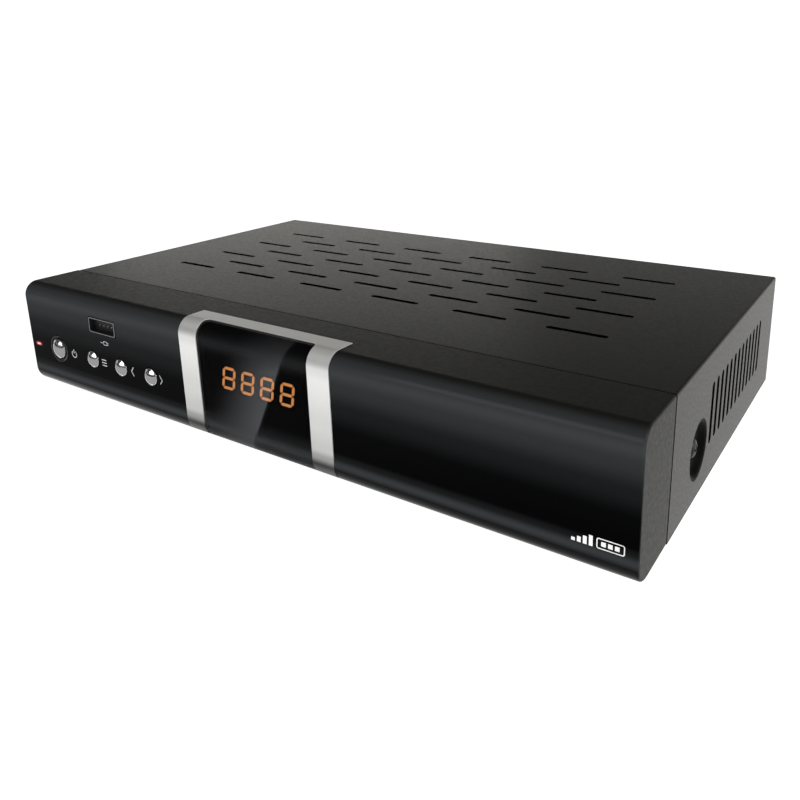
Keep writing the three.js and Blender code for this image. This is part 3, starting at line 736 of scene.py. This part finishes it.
def segments():
    """Outlines of the seven segments of a digit, about its middle, before the slant."""
    w, h = DIGIT_WIDTH / 2, DIGIT_HEIGHT / 2
    half = STROKE / 2
    joints = {"nw": (-w + half, h - half), "ne": (w - half, h - half), "w": (-w + half, 0),
              "e": (w - half, 0), "sw": (-w + half, -h + half), "se": (w - half, -h + half)}
    pairs = (("nw", "ne"), ("w", "e"), ("sw", "se"), ("nw", "w"), ("ne", "e"), ("w", "sw"), ("e", "se"))
    shapes = []
    for a, b in pairs:
        start, end = Vector(joints[a]), Vector(joints[b])
        along = (end - start).normalized()
        across = Vector((-along.y, along.x)) * half
        tip = along * SEGMENT_GAP
        shoulder = along * (half + SEGMENT_GAP)
        shapes.append([start + tip, start + shoulder - across, end - shoulder - across,
                       end - tip, end - shoulder + across, start + shoulder + across])
    return shapes


def lit_digits():
    x, _, z = centre_of("digit_display")
    front = ends_of("digit_display")[0][1]
    bars = []
    for digit in range(4):
        shift = x + DIGIT_SHIFT[0] + (digit - 1.5) * DIGIT_PITCH
        for number, shape in enumerate(segments()):
            outline = [(shift + p.x + SLANT * p.y, z + DIGIT_SHIFT[1] + p.y) for p in shape]
            bars.append(prism(f"bar_{digit}_{number}", outline, front - 0.6, front - 0.4, "y", DIGIT_LIGHT))
    made = joined("lit_digits", bars)
    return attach(made, "case")


# ---- controls
def dome_button(name, cap_radius):
    """A domed cap with a turned flange, smooth over its top."""
    x, _, z = centre_of(name)
    low, high = ends_of(name)
    tip, back = low[1], high[1]
    edge = face_y(z) - 0.15
    rise = edge - tip
    ball = (cap_radius ** 2 + rise ** 2) / (2 * rise)
    steps = 14
    widest = asin(min(1.0, (cap_radius - 0.25) / ball))
    turns = [widest * k / steps for k in range(steps + 1)]
    dome = [(ball * sin(a), tip + ball * (1 - cos(a))) for a in turns]
    shoulder = dome[-1][1]
    turns = [radians(a) for a in (30, 60, 90)]
    inner = cap_radius - 0.25
    shoulder_arc = [(inner + 0.25 * sin(a), shoulder + 0.35 * (1 - cos(a))) for a in turns]
    flange = [(cap_radius, back - 0.8), (cap_radius + 1.1, back - 0.8), (cap_radius + 1.1, back), (0, back)]
    made = sharp_turned(name + "_cap", dome + shoulder_arc + flange, (x, 0, z), "y", CHROME, 56)
    return stand_in(made, name, name)


POWER_CAP = 4.4
SMALL_CAP = 3.65


def power_ring():
    """A dark dish round the power button with a thin bright rim."""
    x, _, z = centre_of("power_button_ring")
    face = face_y(z)
    bore, edge, outside = POWER_CAP + 0.35, 5.55, 6.0
    dish = [(bore, face + 0.9), (bore, face + 0.5), (bore + 0.2, face + 0.35), (edge, face + 0.2),
            (edge, face + 0.9), (bore, face + 0.9)]
    rim = [(edge, face + 0.8), (edge, face - 0.02), (edge + 0.06, face - 0.14), (edge + 0.2, face - 0.2),
           (outside - 0.08, face - 0.14), (outside, face), (outside, face + 0.8), (edge, face + 0.8)]
    made = sharp_turned("power_ring_rim", rim, (x, 0, z), "y", DARK_CHROME, 72)
    stand_in(made, "power_button_ring")
    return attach(sharp_turned("power_ring_dish", dish, (x, 0, z), "y", BLACK, 72), "case")


def status_light():
    """A red lens with a bright core, flush with the face."""
    low, high = ends_of("status_light_pipe")
    x, z = (low[0] + high[0]) / 2, (low[2] + high[2]) / 2
    front = face_y(z)
    shape = slot_outline(*footprint("status_light_pipe", 0), 8)
    made = prism("status_lens", shape, front - 0.1, high[1], "y", RED_LIGHT)
    round_edges(made, 0.3, 3)
    stand_in(made, "status_light_pipe")
    core = prism("status_core", slot_outline(x - 1.3, x + 1.3, z - 0.4, z + 0.4, 8), front - 0.16, front, "y",
                 HOT_LIGHT)
    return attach(round_edges(core, 0.05, 2), "case")


def usb_socket():
    low, high = ends_of("usb_shell")
    front = low[1]
    wall = 0.45
    outside = rounded_rectangle(*footprint("usb_shell", 0), 0.8)
    shell = prism("usb_sleeve", outside, face_y(high[2]) - 0.12, high[1], "y", STEEL)
    inside = rounded_rectangle(*footprint("usb_shell", -wall), 0.5)
    cut_away(shell, [prism("usb_inside", inside, front - 3, high[1] - wall, "y")])
    round_edges(shell, 0.12, 2)
    stand_in(shell, "usb_shell")
    lo, hi = ends_of("usb_tongue")
    tongue = box_piece("usb_tongue_bar", lo, hi, BLACK, 0.25)
    stand_in(tongue, "usb_tongue")
    middle = (lo[0] + hi[0]) / 2
    contacts = []
    for k in range(4):
        x = middle + (k - 1.5) * 2.6
        contacts.append(box_piece(f"contact_{k}", (x - 0.5, lo[1] + 0.4, lo[2] - 0.12),
                                  (x + 0.5, lo[1] + 8, lo[2] - 0.01), GOLD))
        contacts.append(box_piece(f"tip_{k}", (x - 0.35, lo[1], lo[2] - 0.6),
                                  (x + 0.35, lo[1] + 0.9, lo[2] - 0.05), STEEL, 0.1))
    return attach(joined("usb_contacts", contacts), "case")


# ---- printed marks
def stroke(points, width, closed=False):
    """Quads of a line of that width through points, with mitred corners. Points and quads are [x, z]."""
    spots = [Vector(p) for p in points]
    count = len(spots)
    edges = []
    for k, spot in enumerate(spots):
        directions = []
        if closed or k:
            directions.append((spot - spots[k - 1]).normalized())
        if closed or k < count - 1:
            directions.append((spots[(k + 1) % count] - spot).normalized())
        along = sum(directions, Vector((0, 0))).normalized()
        across = Vector((-along.y, along.x))
        side = Vector((-directions[0].y, directions[0].x))
        reach = width / 2 / max(across.dot(side), 0.3)
        edges.append((spot + across * reach, spot - across * reach))
    pairs = list(zip(edges, edges[1:] + edges[:1]))
    if not closed:
        pairs.pop()
    return [(a[0], b[0], b[1], a[1]) for a, b in pairs]


def printed(name, quads, mat):
    """A thin print on the front's face."""
    verts, faces = [], []
    for quad in quads:
        base = len(verts)
        for proud in (0.02, 0.07):
            verts += [at(p[0], face_y(p[1]) - proud, p[1]) for p in quad]
        faces.append(tuple(range(base, base + 4))[::-1])
        faces.append(tuple(range(base + 4, base + 8)))
        faces += [(base + k, base + (k + 1) % 4, base + 4 + (k + 1) % 4, base + 4 + k) for k in range(4)]
    made = face_out(piece(name, verts, faces, mat, smooth=False), merge=False)
    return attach(made, "case")


def bar(x0, x1, z0, z1):
    return [(Vector((x0, z0)), Vector((x1, z0)), Vector((x1, z1)), Vector((x0, z1)))]


MARK_Z = 18.6
POWER_MARK_X, MENU_MARK_X, LEFT_MARK_X, RIGHT_MARK_X = -107.6, -86.4, -67.1, -50.9
PLUG_MARK = (-84.4, 27.7)
BADGE = (128.4, 10.05)
LINE = 0.42                     # width of the printed lines


def button_marks():
    x, z = POWER_MARK_X, MARK_Z
    ring = stroke(arc(x, z - 0.2, 1.55, 125, 415, 24), LINE)
    printed("power_mark", ring + bar(x - LINE / 2, x + LINE / 2, z + 0.2, z + 2.0), INK)
    x = MENU_MARK_X
    levels = [z + 1.25 * k for k in (-1, 0, 1)]
    rows = [quad for level in levels for quad in bar(x - 1.5, x + 1.5, level - 0.22, level + 0.22)]
    printed("menu_mark", rows, INK)
    for name, x, reach in (("left_mark", LEFT_MARK_X, -1.4), ("right_mark", RIGHT_MARK_X, 1.4)):
        printed(name, stroke([(x, z + 1.9), (x + reach, z), (x, z - 1.9)], LINE), INK)


def plug_mark():
    """A generic plug: a body with a lead and two pins."""
    x, z = PLUG_MARK
    plug = stroke(rounded_rectangle(x - 0.6, x + 1.6, z - 0.75, z + 0.75, 0.3, 3), 0.3, True)
    plug += bar(x - 2.6, x - 0.6, z - 0.15, z + 0.15)
    plug += bar(x + 1.6, x + 2.6, z - 0.5, z - 0.2) + bar(x + 1.6, x + 2.6, z + 0.2, z + 0.5)
    printed("plug_mark", plug, INK)


def plain_badge():
    """Four rising steps beside a frame with three squares."""
    x, z = BADGE
    quads = stroke(rounded_rectangle(x, x + 7.6, z - 1.5, z + 1.5, 0.5, 3), 0.3, True)
    for k in range(3):
        quads += bar(x + 1.2 + 1.9 * k, x + 2.5 + 1.9 * k, z - 0.7, z + 0.7)
    for k in range(4):
        quads += bar(x - 7.4 + 1.7 * k, x - 6.3 + 1.7 * k, z - 1.6, z - 0.6 + 0.75 * k)
    printed("plain_badge", quads, BRIGHT_INK)


# ---- sheet-metal cover
SHEET = 0.8
SEAM_GAP = 1.0
ROW_COUNT, ROW_PITCH, ROW_FIRST = 7, 13.5, 37.5
SLOT_PITCH, SLOT_LENGTH, SLOT_WIDTH, SLOT_SHIFT = 38.7, 22.8, 2.6, -1.5
SIDE_COUNT, SIDE_PITCH, SIDE_FIRST, SIDE_WIDTH = 13, 6.5, 46.7, 3.3


def cover_slots():
    # Each tool gives the walls of its slot a near-black material without gloss, painted shade in the slots.
    tools = []
    for row in range(ROW_COUNT):
        count = 6 - row % 2
        y = ROW_FIRST + row * ROW_PITCH
        for k in range(count):
            x = (k - (count - 1) / 2) * SLOT_PITCH + SLOT_SHIFT
            half = SLOT_LENGTH / 2
            shape = slot_outline(x - half, x + half, y - SLOT_WIDTH / 2, y + SLOT_WIDTH / 2)
            tools.append(prism("top_slot", shape, COVER_TOP - 4, COVER_TOP + 4, "z", SHADE))
    for k in range(SIDE_COUNT):
        y = SIDE_FIRST + k * SIDE_PITCH
        shape = slot_outline(y - SIDE_WIDTH / 2, y + SIDE_WIDTH / 2, 12, 34)
        for low in (-HALF - 4, HALF - 4):
            tools.append(prism("side_slot", shape, low, low + 8, "x", SHADE))
    return tools


CUP_MOUTH, CUP_FLOOR, CUP_DEPTH = 10.0, 7.8, 2.4


def dimple(side):
    """The pressed cup round a side screw, as a turned sheet, in a darker paint that is painted shade in the
    hollow.
    """
    _, y, z = centre_of("side_screw_right")
    floor = HALF - CUP_DEPTH
    bend = [(CUP_MOUTH + 0.5, HALF - 0.01), (CUP_MOUTH, HALF - 0.05), (CUP_MOUTH - 0.5, HALF - 0.25),
            (CUP_MOUTH - 0.9, HALF - 0.65), (CUP_FLOOR + 0.6, floor + 0.5), (CUP_FLOOR + 0.1, floor + 0.12),
            (CUP_FLOOR - 0.5, floor), (1.8, floor)]
    back = [(1.8, floor - SHEET), (CUP_FLOOR + 0.2, floor - SHEET), (CUP_MOUTH - 0.4, HALF - 1.3),
            (CUP_MOUTH + 0.5, HALF - SHEET), (CUP_MOUTH + 0.5, HALF - 0.01)]
    shape = [(r, side * x) for r, x in bend + back]
    return turned("dimple", shape, (0, y, z), "x", CUP_SHADE_PAINT, 64)


def top_cover():
    inner = HALF - SHEET
    ceiling = COVER_TOP - SHEET
    outer_bend = [(-x, z) for x, z in arc(HALF - 0.9, COVER_TOP - 0.9, 0.9, 0, 90, 8)]
    inner_bend = [(-x, z) for x, z in arc(inner - 0.2, ceiling - 0.2, 0.2, 0, 90, 4)]
    left = [(-HALF, UNDERSIDE)] + outer_bend
    right = [(-x, z) for x, z in reversed(left)]
    under = [(-x, z) for x, z in [(-inner, UNDERSIDE)] + inner_bend]
    outline = left + right + under + [(-x, z) for x, z in reversed(under)]
    sheet = prism("sheet", outline, SEAM_GAP, COVER_BACK, "y", PAINT)
    tools = cover_slots()
    _, y, z = centre_of("side_screw_right")
    for low in (-HALF - 4, HALF - 4):
        tools.append(prism("dimple_hole", arc(y, z, CUP_MOUTH + 0.3, 0, 354, 59), low, low + 8, "x"))
    cut_away(sheet, tools)
    sheet.data.shade_smooth()
    round_edges(sheet, 0.12, 2, 30)
    shape = rounded_rectangle(-inner, inner, 38, ceiling + 0.2, 0.4)
    lip = prism("lip", shape, COVER_BACK - SHEET, COVER_BACK - 0.02, "y", PAINT)
    low_holes = []
    for k in (1, 2, 3):
        x, _, z = centre_of(f"rear_screw_{k}")
        low_holes.append(prism("lip_hole", arc(x, z, 1.8, 0, 345, 23), COVER_BACK - 4, COVER_BACK + 4, "y"))
    cut_away(lip, low_holes)
    round_edges(lip, 0.15, 2)
    made = joined("slotted_cover", [sheet, lip, dimple(1), dimple(-1)])
    return stand_in(made, "top_cover")


# ---- screws and feet
def cross_screw(node, axis, sign, head_radius, head_thick, mat):
    """A pan-head screw with a cross recess. sign says which way along axis the head points."""
    low, high = ends_of(node)
    centre = centre_of(node)
    number = "xyz".index(axis)
    top = high[number] if sign > 0 else low[number]
    seat = top - sign * head_thick
    tail = low[number] if sign > 0 else high[number]
    crown = [(head_radius * cos(radians(a)), seat + sign * head_thick * sin(radians(a)))
             for a in range(0, 91, 15)]
    outline = [(0, tail), (1.5, tail), (1.5, seat)] + crown
    line = tuple(0 if k == number else c for k, c in enumerate(centre))
    made = turned(node + "_pan", outline, line, axis, mat, 40)
    a, b = (c for k, c in enumerate(centre) if k != number)
    for wide, tall in ((0.36, 1.7), (1.7, 0.36)):
        shape = [(a - wide, b - tall), (a + wide, b - tall), (a + wide, b + tall), (a - wide, b + tall)]
        cut_away(made, [prism("cross", shape, *sorted((top - sign * 0.9, top + sign)), axis)])
    made.data.set_sharp_from_angle(angle=radians(35))
    return stand_in(made, node)


def rubber_foot(node):
    (x, y, _), radius, low, high = round_node(node)
    height = high[2] - low[2]
    sole = arc(radius - 1.3, 0.7, 0.7, -90, 0, 5)
    outline = [(0, 0.35), (radius * 0.45, 0.35), (radius * 0.5, 0)] + sole
    outline += [(radius - 0.1, height - 0.2), (radius - 0.3, height), (0, height)]
    outline = [(r, low[2] + z) for r, z in outline]
    made = sharp_turned(node + "_pad", outline, (x, y, 0), "z", RUBBER, 48)
    return stand_in(made, node)


# ---- sockets and the parts inside
def refined(node, mat, width, body="case", segments=2, pierced=False):
    """A piece with the CAD node's shape, rounded edges and a finished material.

    A pierced sheet keeps its faces in triangles, since one face can't hold so many openings."""
    made = new_object(node + "_fine", nodes[node].data.copy())
    made.data.materials.clear()
    made.data.materials.append(mat)
    stored = made.data.attributes.get("custom_normal")
    if stored:
        made.data.attributes.remove(stored)
    bm = bmesh.new()
    bm.from_mesh(made.data)
    bmesh.ops.remove_doubles(bm, verts=bm.verts, dist=2e-6)
    if not pierced:
        bmesh.ops.dissolve_limit(bm, angle_limit=radians(1), verts=bm.verts, edges=bm.edges)
    bmesh.ops.recalc_face_normals(bm, faces=bm.faces)
    bm.to_mesh(made.data)
    bm.free()
    if pierced:
        made.data.shade_flat()
    else:
        made.data.shade_smooth()
        round_edges(made, width, segments)
    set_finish(made, slot_of(mat))
    return stand_in(made, node, body)


def aerial_socket(node):
    """A threaded aerial socket with its white insulator."""
    (x, _, z), radius, low, high = round_node(node)
    tip = high[1]
    thread = []
    pitch = 0.8
    start = 153.5
    turns = int((tip - 0.8 - start) / pitch)
    for k in range(turns):
        y = start + k * pitch
        thread += [(radius - 0.35, y), (radius, y + 0.25), (radius, y + 0.4), (radius - 0.35, y + 0.65)]
    outline = [(0, low[1]), (radius, low[1]), (radius, start - 0.3)] + thread
    outline += [(radius - 0.35, tip - 0.3), (radius - 0.7, tip), (3.1, tip), (3.1, tip - 1.2), (0, tip - 1.2)]
    made = sharp_turned(node + "_barrel", outline, (x, 0, z), "y", CHROME, 48)
    stand_in(made, node)
    core = [(0.6, tip - 1.3), (3.05, tip - 1.3), (3.05, tip - 0.5), (2.7, tip - 0.3), (0.9, tip - 0.3),
            (0.6, tip - 0.6), (0.6, tip - 1.3)]
    insulator = sharp_turned(node + "_insulator", core, (x, 0, z), "y", WHITE, 40)
    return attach(insulator, "case")


def signal_jack(node, mat):
    """A coloured insert inside a plated sleeve."""
    (x, _, z), radius, low, high = round_node(node)
    tip = high[1]
    ring = [(1.6, low[1]), (radius, low[1]), (radius, 153.6), (3.2, 153.8), (3.2, tip - 0.5),
            (3.0, tip - 0.3), (1.75, tip - 0.3), (1.6, tip - 0.5), (1.6, low[1])]
    made = sharp_turned(node + "_insert", ring, (x, 0, z), "y", mat, 44)
    stand_in(made, node)
    sleeve = [(3.3, 153.9), (4.15, 153.9), (4.15, tip - 0.2), (3.95, tip), (3.5, tip), (3.3, tip - 0.2),
              (3.3, 153.9)]
    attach(sharp_turned(node + "_sleeve", sleeve, (x, 0, z), "y", CHROME, 44), "case")
    shape = rounded_rectangle(x - 6.2, x + 6.2, z - 5.6, z + 6.4, 1)
    flange = prism(node + "_flange", shape, 151.85, 153.0, "y", mat)
    cut_away(flange, [prism("bore", arc(x, z, 4.3, 0, 352, 44), 150, 155, "y")])
    round_edges(flange, 0.2, 2)
    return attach(flange, "case")


def rear_sockets():
    for node in ("lnb_in", "lnb_out"):
        aerial_socket(node + "_socket")
        refined(node + "_nut", CHROME, 0.25)
    signal_jack("rca_video", YELLOW)
    signal_jack("rca_left", WHITE)
    signal_jack("rca_right", RED)
    refined("hdmi_shell", STEEL, 0.12)
    refined("hdmi_tongue", BLACK, 0.15)
    refined("lan_socket", STEEL, 0.2)
    refined("mains_inlet", BLACK, 0.3)
    refined("switch_frame", BLACK, 0.35)
    refined("power_rocker", BLACK, 0.35, "power_rocker", 3)
    refined("av_block", BLACK, 0.3)
    low, high = ends_of("lan_socket")
    x, _, z = centre_of("lan_socket")
    pins = []
    for k in range(8):
        left = x - 3.9 + 1.02 * k
        start, end = (left, high[1] - 10, low[2] + 1.8), (left + 0.5, high[1] - 2.5, low[2] + 2.1)
        pins.append(box_piece(f"pin_{k}", start, end, GOLD))
    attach(joined("lan_contacts", pins), "case")


def inner_parts():
    plan = {
        "front_board": (GREEN_BOARD, 0.15), "main_board": (GREEN_BOARD, 0.15),
        "supply_board": (BROWN_BOARD, 0.15), "digit_display": (BLACK, 0.3),
        "ir_receiver": (BLACK, 0.4), "main_chip": (BLACK, 0.2),
        "memory_chip": (BLACK, 0.15), "chip_heatsink": (ALUMINIUM, 0.2),
        "supply_heatsink": (ALUMINIUM, 0.2), "transformer": (FERRITE, 0.6),
        "tuner_can": (STEEL, 0.4), "ribbon_cable": (CABLE, 0.15),
        "supply_cable": (CABLE, 0.2),
    }
    for node, (mat, width) in plan.items():
        refined(node, mat, width)
    refined("chassis_base", STEEL, 0, pierced=True)
    refined("rear_panel", PAINT, 0, pierced=True)
    for name in BUTTONS:
        refined(name.replace("button", "switch"), BLACK, 0.25)
    refined("status_led", RED_LIGHT, 0.3)
    for node in ("mains_capacitor", "output_capacitor"):
        (x, y, _), radius, low, high = round_node(node)
        base, top = low[2], high[2]
        can = [(0, base), (radius - 0.5, base), (radius, base + 0.5), (radius, base + 1.2),
               (radius - 0.4, base + 1.7), (radius, base + 2.2), (radius, top - 0.6), (radius - 0.6, top),
               (radius - 1.2, top - 0.3), (0, top - 0.3)]
        made = sharp_turned(node + "_can", can, (x, y, 0), "z", SLEEVE, 40)
        stand_in(made, node)


def slot_shade_sheets():
    """Black sheets that stand behind the slots of the side walls and of the rear panel, put there as shade in
    the slots.
    """
    for side in (-1, 1):
        wall = sorted(side * (HALF - SHEET - gap) for gap in (0.4, 0.65))
        shade_sheet = prism("side_film", rounded_rectangle(42, 130, 8, 38, 2), *wall, "x", SHADE)
        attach(round_edges(shade_sheet, 0.05, 1), "case")
    inside = ends_of("rear_panel")[1][1] - SHEET - 0.7
    shape = rounded_rectangle(-70, 4, 26.5, 37.5, 2)
    back = prism("rear_film", shape, inside, inside + 0.25, "y", SHADE)
    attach(round_edges(back, 0.05, 1), "case")


def board_parts():
    """Small surface-mounted parts on the main board, strewn between the large ones."""
    draw = random.Random(7)
    low, high = ends_of("main_board")
    top = high[2] + 0.02
    taken = [ends_of(n) for n in ("main_chip", "memory_chip", "tuner_can", "av_block", "lan_socket",
                                  "hdmi_shell", "ribbon_cable", "supply_cable")]
    chips = []
    while len(chips) < 70:
        x, y = draw.uniform(low[0] + 3, high[0] - 3), draw.uniform(low[1] + 3, high[1] - 3)
        w, d, h = draw.choice(((0.8, 1.6, 0.6), (1.6, 0.8, 0.6), (2.4, 2.0, 1.1), (4.0, 5.0, 1.4)))
        if all(x + w < a[0] - 1 or x - w > b[0] + 1 or y + d < a[1] - 1 or y - d > b[1] + 1
               for a, b in taken):
            start, end = (x - w, y - d, top), (x + w, y + d, top + h)
            taken.append((start, end))
            chips.append(box_piece(f"chip_{len(chips)}", start, end, BLACK))
    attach(joined("board_parts", chips), "case")


# ---- stage
def white_room():
    """A world that is white round the horizon and greyer overhead."""
    world = bpy.data.worlds.new("studio")
    bpy.context.scene.world = world
    world.use_nodes = True
    _, links, background = parts_of(world)
    height = axes_of(world, "TexCoord", "Generated")["Z"]
    rise = add_node(world, "MapRange", Value=height, From_Min=0.05, From_Max=0.27, To_Min=1.5, To_Max=0.06)
    links.new(rise.outputs["Result"], background.inputs["Strength"])
    background.inputs["Color"].default_value = (1.0, 0.995, 0.965, 1.0)


def stage():
    white_room()
    size = 40.0
    floor = new_object("floor", bpy.data.meshes.new("floor"))
    corners = [(-size, -size, 0), (size, -size, 0), (size, size, 0), (-size, size, 0)]
    floor.data.from_pydata(corners, [], [(0, 1, 2, 3)])
    white = material("floor_white", (0.8, 0.8, 0.8), 0.9, Specular_IOR_Level=0.1, Emission_Color=(1, 1, 1, 1),
                     Emission_Strength=0.92)
    floor.data.materials.append(white)
    dark_flag()
    grey_card()


def reflected_only(name, verts, faces, mat):
    """A sheet of the studio that is seen only in the object's glossy parts."""
    mesh = bpy.data.meshes.new(name)
    mesh.from_pydata(verts, [], faces)
    mesh.materials.append(mat)
    sheet = new_object(name, mesh)
    for kind in ("camera", "diffuse", "transmission", "shadow", "volume_scatter"):
        setattr(sheet, "visible_" + kind, False)


def dark_flag():
    """A low dark strip in an arc in front of the object."""
    radius, height, steps = 1.6, 0.32, 40
    verts = []
    for k in range(steps + 1):
        angle = radians(-170 + 160 * k / steps)
        verts += [(radius * cos(angle), radius * sin(angle), z) for z in (0.012, height)]
    faces = [(2 * k, 2 * k + 2, 2 * k + 3, 2 * k + 1) for k in range(steps)]
    cloth = material("flag_cloth", (0.01, 0.01, 0.01), 0.9, Specular_IOR_Level=0.0)
    reflected_only("dark_flag", verts, faces, cloth)


def grey_card():
    """A grey card on the floor in front of the object."""
    front = at(0, FACE_Y - 3, 0).y
    verts = [(-1.2, -1.5, 0.0004), (1.2, -1.5, 0.0004), (1.2, front, 0.0004), (-1.2, front, 0.0004)]
    grey = material("card_grey", (0.0, 0.0, 0.0), 0.9, Specular_IOR_Level=0.0, Emission_Color=(1, 1, 1, 1),
                    Emission_Strength=0.38)
    reflected_only("grey_card", verts, [(0, 1, 2, 3)], grey)


def area_light(name, place, target, size, power, color=(1, 1, 1)):
    light = bpy.data.lights.new(name, "AREA")
    light.shape = "RECTANGLE"
    light.size, light.size_y = size
    light.energy = power
    light.color = color
    lamp = new_object(name, light)
    lamp.location = place
    lamp.rotation_euler = (Vector(target) - Vector(place)).to_track_quat("-Z", "Y").to_euler()


def lights():
    area_light("right_box", (1.1, 0.15, 0.3), (0.14, 0.0, 0.03), (0.7, 0.4), 6.0, (1.0, 0.96, 0.87))
    area_light("left_back_box", (-0.9, 1.0, 0.25), (0, 0.05, 0.05), (0.9, 0.25), 0.8, (1.0, 0.98, 0.92))
    area_light("front_box", (-0.1, -1.0, 0.55), (0, -0.1, 0.02), (1.0, 0.4), 4)


def camera():
    """The camera stands off the front's right corner, looking down on it."""
    azimuth, elevation, roll = (radians(a) for a in (34.602, 13.675, -0.9095))
    level = cos(elevation)
    back = Vector((sin(azimuth) * level, -cos(azimuth) * level, sin(elevation)))
    right = (-back).cross(Vector((0, 0, 1))).normalized()
    up = right.cross(-back)
    tilted_right = cos(roll) * right + sin(roll) * up
    tilted_up = -sin(roll) * right + cos(roll) * up
    lens = bpy.data.cameras.new("camera")
    lens.sensor_width = 36
    lens.lens = 35.27
    lens.shift_y = -0.16875
    lens.clip_start = 0.01
    view = new_object("camera", lens)
    turn = Matrix((tilted_right, tilted_up, back)).transposed().to_4x4()
    view.matrix_world = Matrix.Translation(at(192.56, -211.34, 134.4)) @ turn
    bpy.context.scene.camera = view
    bpy.context.scene.view_settings.view_transform = "Standard"


for make in (camera, stage, lights, front_bezel, silver_trim, display_window, display_mask, lit_digits):
    make()
dome_button("power_button", POWER_CAP)
for small in BUTTONS[1:]:
    dome_button(small, SMALL_CAP)
for make in (power_ring, status_light, usb_socket, button_marks, plug_mark, plain_badge, top_cover):
    make()
cross_screw("side_screw_right", "x", 1, 3.3, 1.5, ZINC)
cross_screw("side_screw_left", "x", -1, 3.3, 1.5, ZINC)
for number in (1, 2, 3):
    cross_screw(f"rear_screw_{number}", "y", 1, 3.0, 1.7, STEEL)
for end in ("front_left", "front_right", "rear_left", "rear_right"):
    rubber_foot("foot_" + end)
for make in (rear_sockets, inner_parts, slot_shade_sheets, board_parts):
    make()
